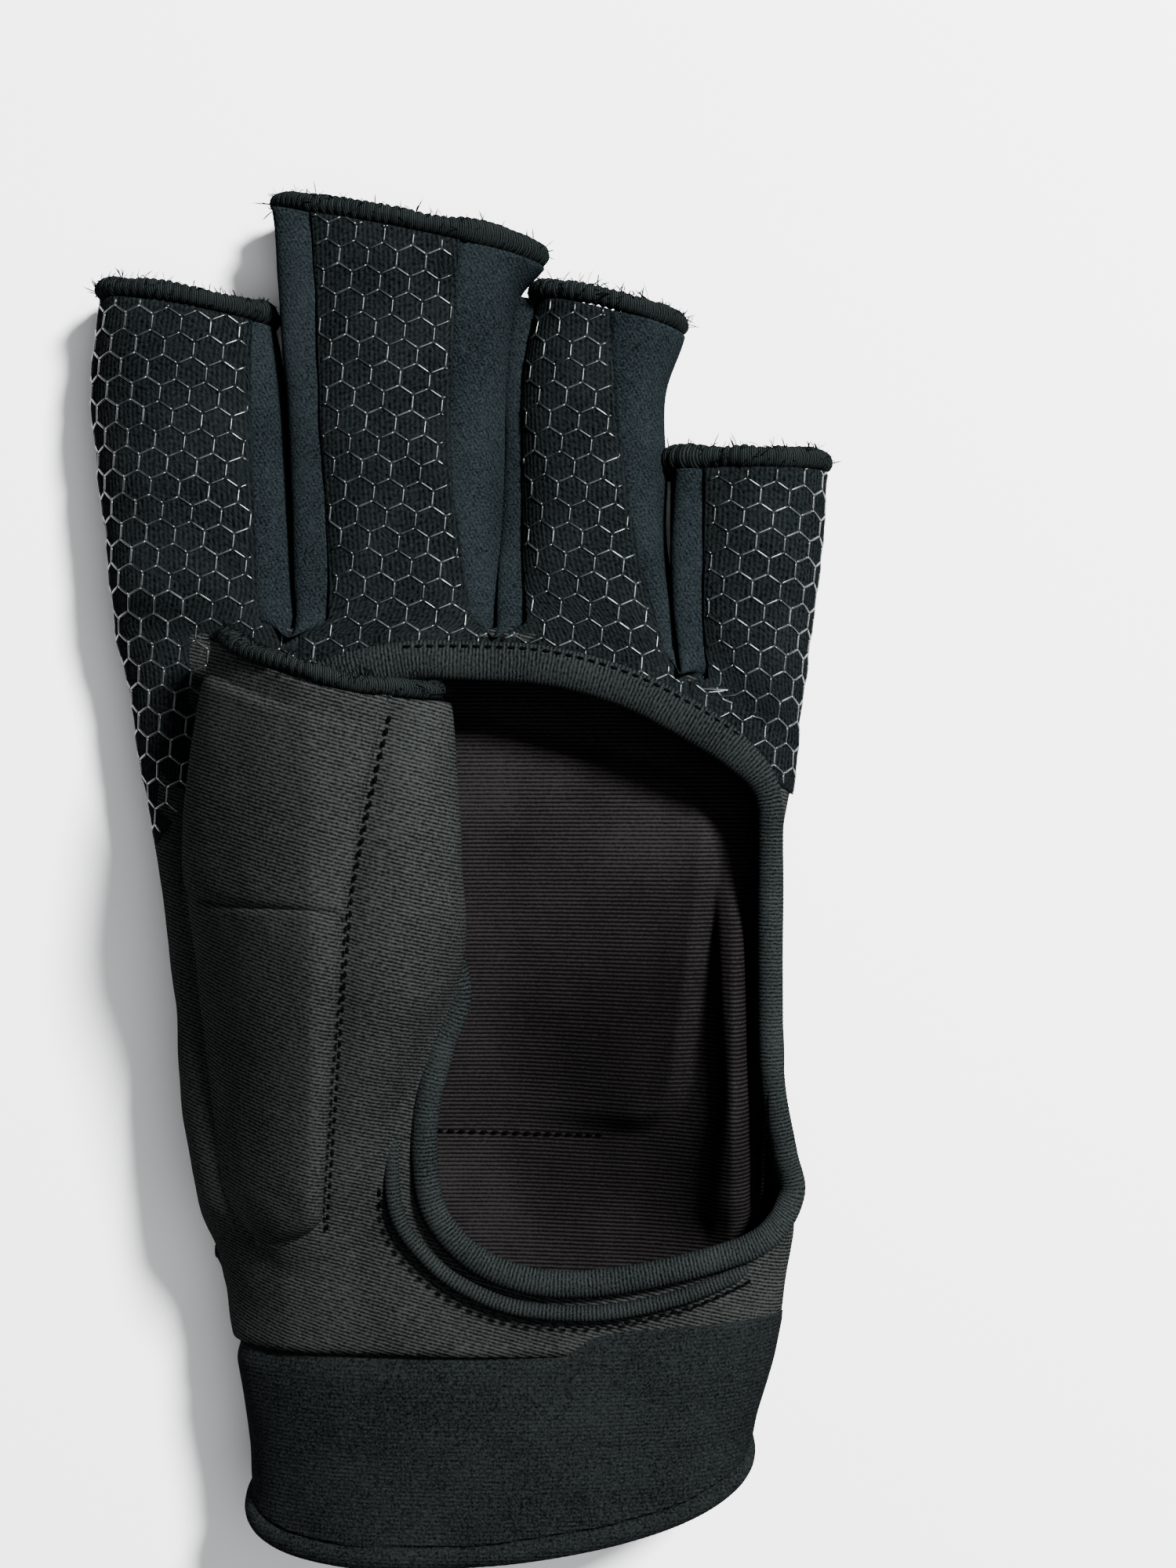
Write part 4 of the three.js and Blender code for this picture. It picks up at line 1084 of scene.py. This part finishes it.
def makeHem(name, hem, seed):
    length = hemLoop(hem["rows"], hem["cloth"], 0, 200)[2]
    steps = overlock["wrapSteps"]
    count = int(length / overlock["wrapPitch"]) * steps
    loop, outward, _ = hemLoop(hem["rows"], hem["cloth"], hem["along"] + 0.1, count)
    wander = softNoise(loop, 4.0, seed)
    bunch = softNoise(loop, 9.0, seed + 5)
    loop = loop + outward * (overlock["wander"] * wander)[:, None]
    loop[:, 1] += 0.45 * bunch
    leftEnd = 1 - ease(0, 5, loop[:, 0] - loop[:, 0].min())
    loop[:, 0] -= hem.get("frays", 0) * leftEnd * (0.8 + 0.4 * bunch)
    loop[:, 2] = np.maximum(loop[:, 2], 0.9)
    jitter = softNoise(loop, 0.9, seed + 11)[:, None]
    swell = 1 + 0.14 * softNoise(loop, 3.0, seed + 17)[:, None]
    place, width, amount = hem.get("thick", (0, 1, 0))
    swell = swell + amount * np.exp(-((loop[:, :1] - place) / width) ** 2)

    def sizes(t, turn):
        phase = np.pi * t / steps + 0.9 * np.sin(turn + 0.5) + 0.7 * jitter
        ridge = overlock["wrapHeight"] * (np.abs(np.sin(phase)) - 0.6) + 0.14 * jitter
        across, along = hem["across"] * swell + ridge, hem["along"] * swell + ridge
        return across * np.cos(turn), along * np.sin(turn)

    forward = np.tile([0, 1.0, 0], (count, 1))
    rollPiece(f"{name}_overlock", loop, outward, forward, sizes, overlockThread,
              [f"{name}_hem"])
    looseFibres(name, hem, loop, outward, seed)


for name, finger in fingers.items():
    makeFront(name, finger)
    makeHexNet(name, finger)
    makeBack(name, finger)
names = list(fingers)
for leftName, rightName in zip(names, names[1:]):
    makeSideStrip(leftName, rightName)
print("fingers made")
for place, (name, hem) in enumerate(hems.items()):
    makeHem(name, hem, 1.3 + place * 2.7)
print("hems made")

# sewing
seams = {"start": 0.4, "stitch": 1.1, "gap": 0.6, "thread": 0.27, "arch": 0.16, "sinks": 0.05}


def stitchRow(name, route):
    length = np.concatenate([[0], np.cumsum(np.linalg.norm(np.diff(route, axis=0), axis=1))])
    paths = []
    at = seams["start"]
    while at + seams["stitch"] < length[-1]:
        t = np.linspace(at, at + seams["stitch"], 6)
        path = np.stack([np.interp(t, length, route[:, c]) for c in range(3)], axis=1)
        path[:, 2] += seams["arch"] * np.sin(np.linspace(0, np.pi, 6)) - seams["sinks"]
        paths.append(path)
        at += seams["stitch"] + seams["gap"]
    threadPieces(name, paths, [seams["thread"]] * len(paths), stitchThread)


def besideRoute(path, distance, height):  # an open route on the hand, moved sideways
    route = smoothRoute(onHand(path, height), False, 600)[0]
    moved = route + sidewaysAlong(route, False) * distance
    moved[:, 2] = surfaceZ(handRows, moved[:, 0], moved[:, 1]) + height
    return moved


stitchRow("binding_stitches", besideRoute(bindingPath[1:7], -2.6, 2.3))
padEdge = np.array([(-6, -40.4), (6, -40.7), (16, -40.6), (22, -40.2)], float)
padEdge = smoothRoute(np.column_stack([padEdge, np.zeros(len(padEdge))]), False, 200)[0]
padX, padY, _ = padEdge.T
padEdge[:, 2] = lining["inset"] + islandHeight(padX, padY) + liningTilt(padX, padY) + 0.3
stitchRow("back_pad_stitches", padEdge)
stitchRow("welt_stitches", besideRoute(weltPath, 1.8, 1.2))
seamY = np.linspace(-51, 24.5, 200)
seamRow = rowAt(thumbRows, seamY)
stitchRow("thumb_seam_stitches", ovalPoint(seamRow, angleOver(seamRow, thumbSeamX(seamY) + 0.3), 0.1))
print("stitches made")

# floor, light and camera
stage = {"half": 1.5, "colour": (0.95, 0.95, 0.95), "roughness": 0.9, "daylight": 0.07}
floorMesh = bpy.data.meshes.new("floor")
corners = [(x * stage["half"], y * stage["half"], 0) for x, y in ((-1, -1), (1, -1), (1, 1), (-1, 1))]
floorMesh.from_pydata(corners, [], [(0, 1, 2, 3)])
floorPiece = bpy.data.objects.new("floor", floorMesh)
bpy.context.scene.collection.objects.link(floorPiece)
floorMaterial, floorNodes, _ = newMaterial("pale floor")
floorNodes["Principled BSDF"].inputs["Base Color"].default_value = (*stage["colour"], 1)
floorNodes["Principled BSDF"].inputs["Roughness"].default_value = stage["roughness"]
floorMesh.materials.append(floorMaterial)

lights = {
    "key": {"from": (0.62, 0.58, 1.00), "size": 0.24, "power": 98.0, "colour": (1.0, 1.0, 1.0)},
    "fill": {"from": (0.25, -0.1, 1.0), "size": 0.9, "power": 7.0, "colour": (0.95, 0.98, 1.0)},
}
for name, lamp in lights.items():
    data = bpy.data.lights.new(name, "AREA")
    data.shape = "DISK"
    data.size = lamp["size"]
    data.energy = lamp["power"]
    data.color = lamp["colour"]
    light = bpy.data.objects.new(name, data)
    light.location = lamp["from"]
    light.rotation_euler = (Vector((0, 0, 0.01)) - Vector(lamp["from"])).to_track_quat("-Z", "Y").to_euler()
    bpy.context.scene.collection.objects.link(light)
world = bpy.data.worlds.new("studio")
world.use_nodes = True
world.node_tree.nodes["Background"].inputs["Color"].default_value = (1, 1, 1, 1)
world.node_tree.nodes["Background"].inputs["Strength"].default_value = stage["daylight"]
bpy.context.scene.world = world

# the photograph is taken from straight above, 380 mm over the table
view = {"at": (0.0194, 0.01275, 0.38), "focalPixels": 3130, "longSidePixels": 2000, "sensor": 36.0}
cameraData = bpy.data.cameras.new("camera")
cameraData.sensor_width = view["sensor"]
cameraData.lens = view["focalPixels"] / view["longSidePixels"] * view["sensor"]
cameraData.clip_start = 0.01
camera = bpy.data.objects.new("camera", cameraData)
camera.location = view["at"]
bpy.context.scene.collection.objects.link(camera)
bpy.context.scene.camera = camera
print("stage made")
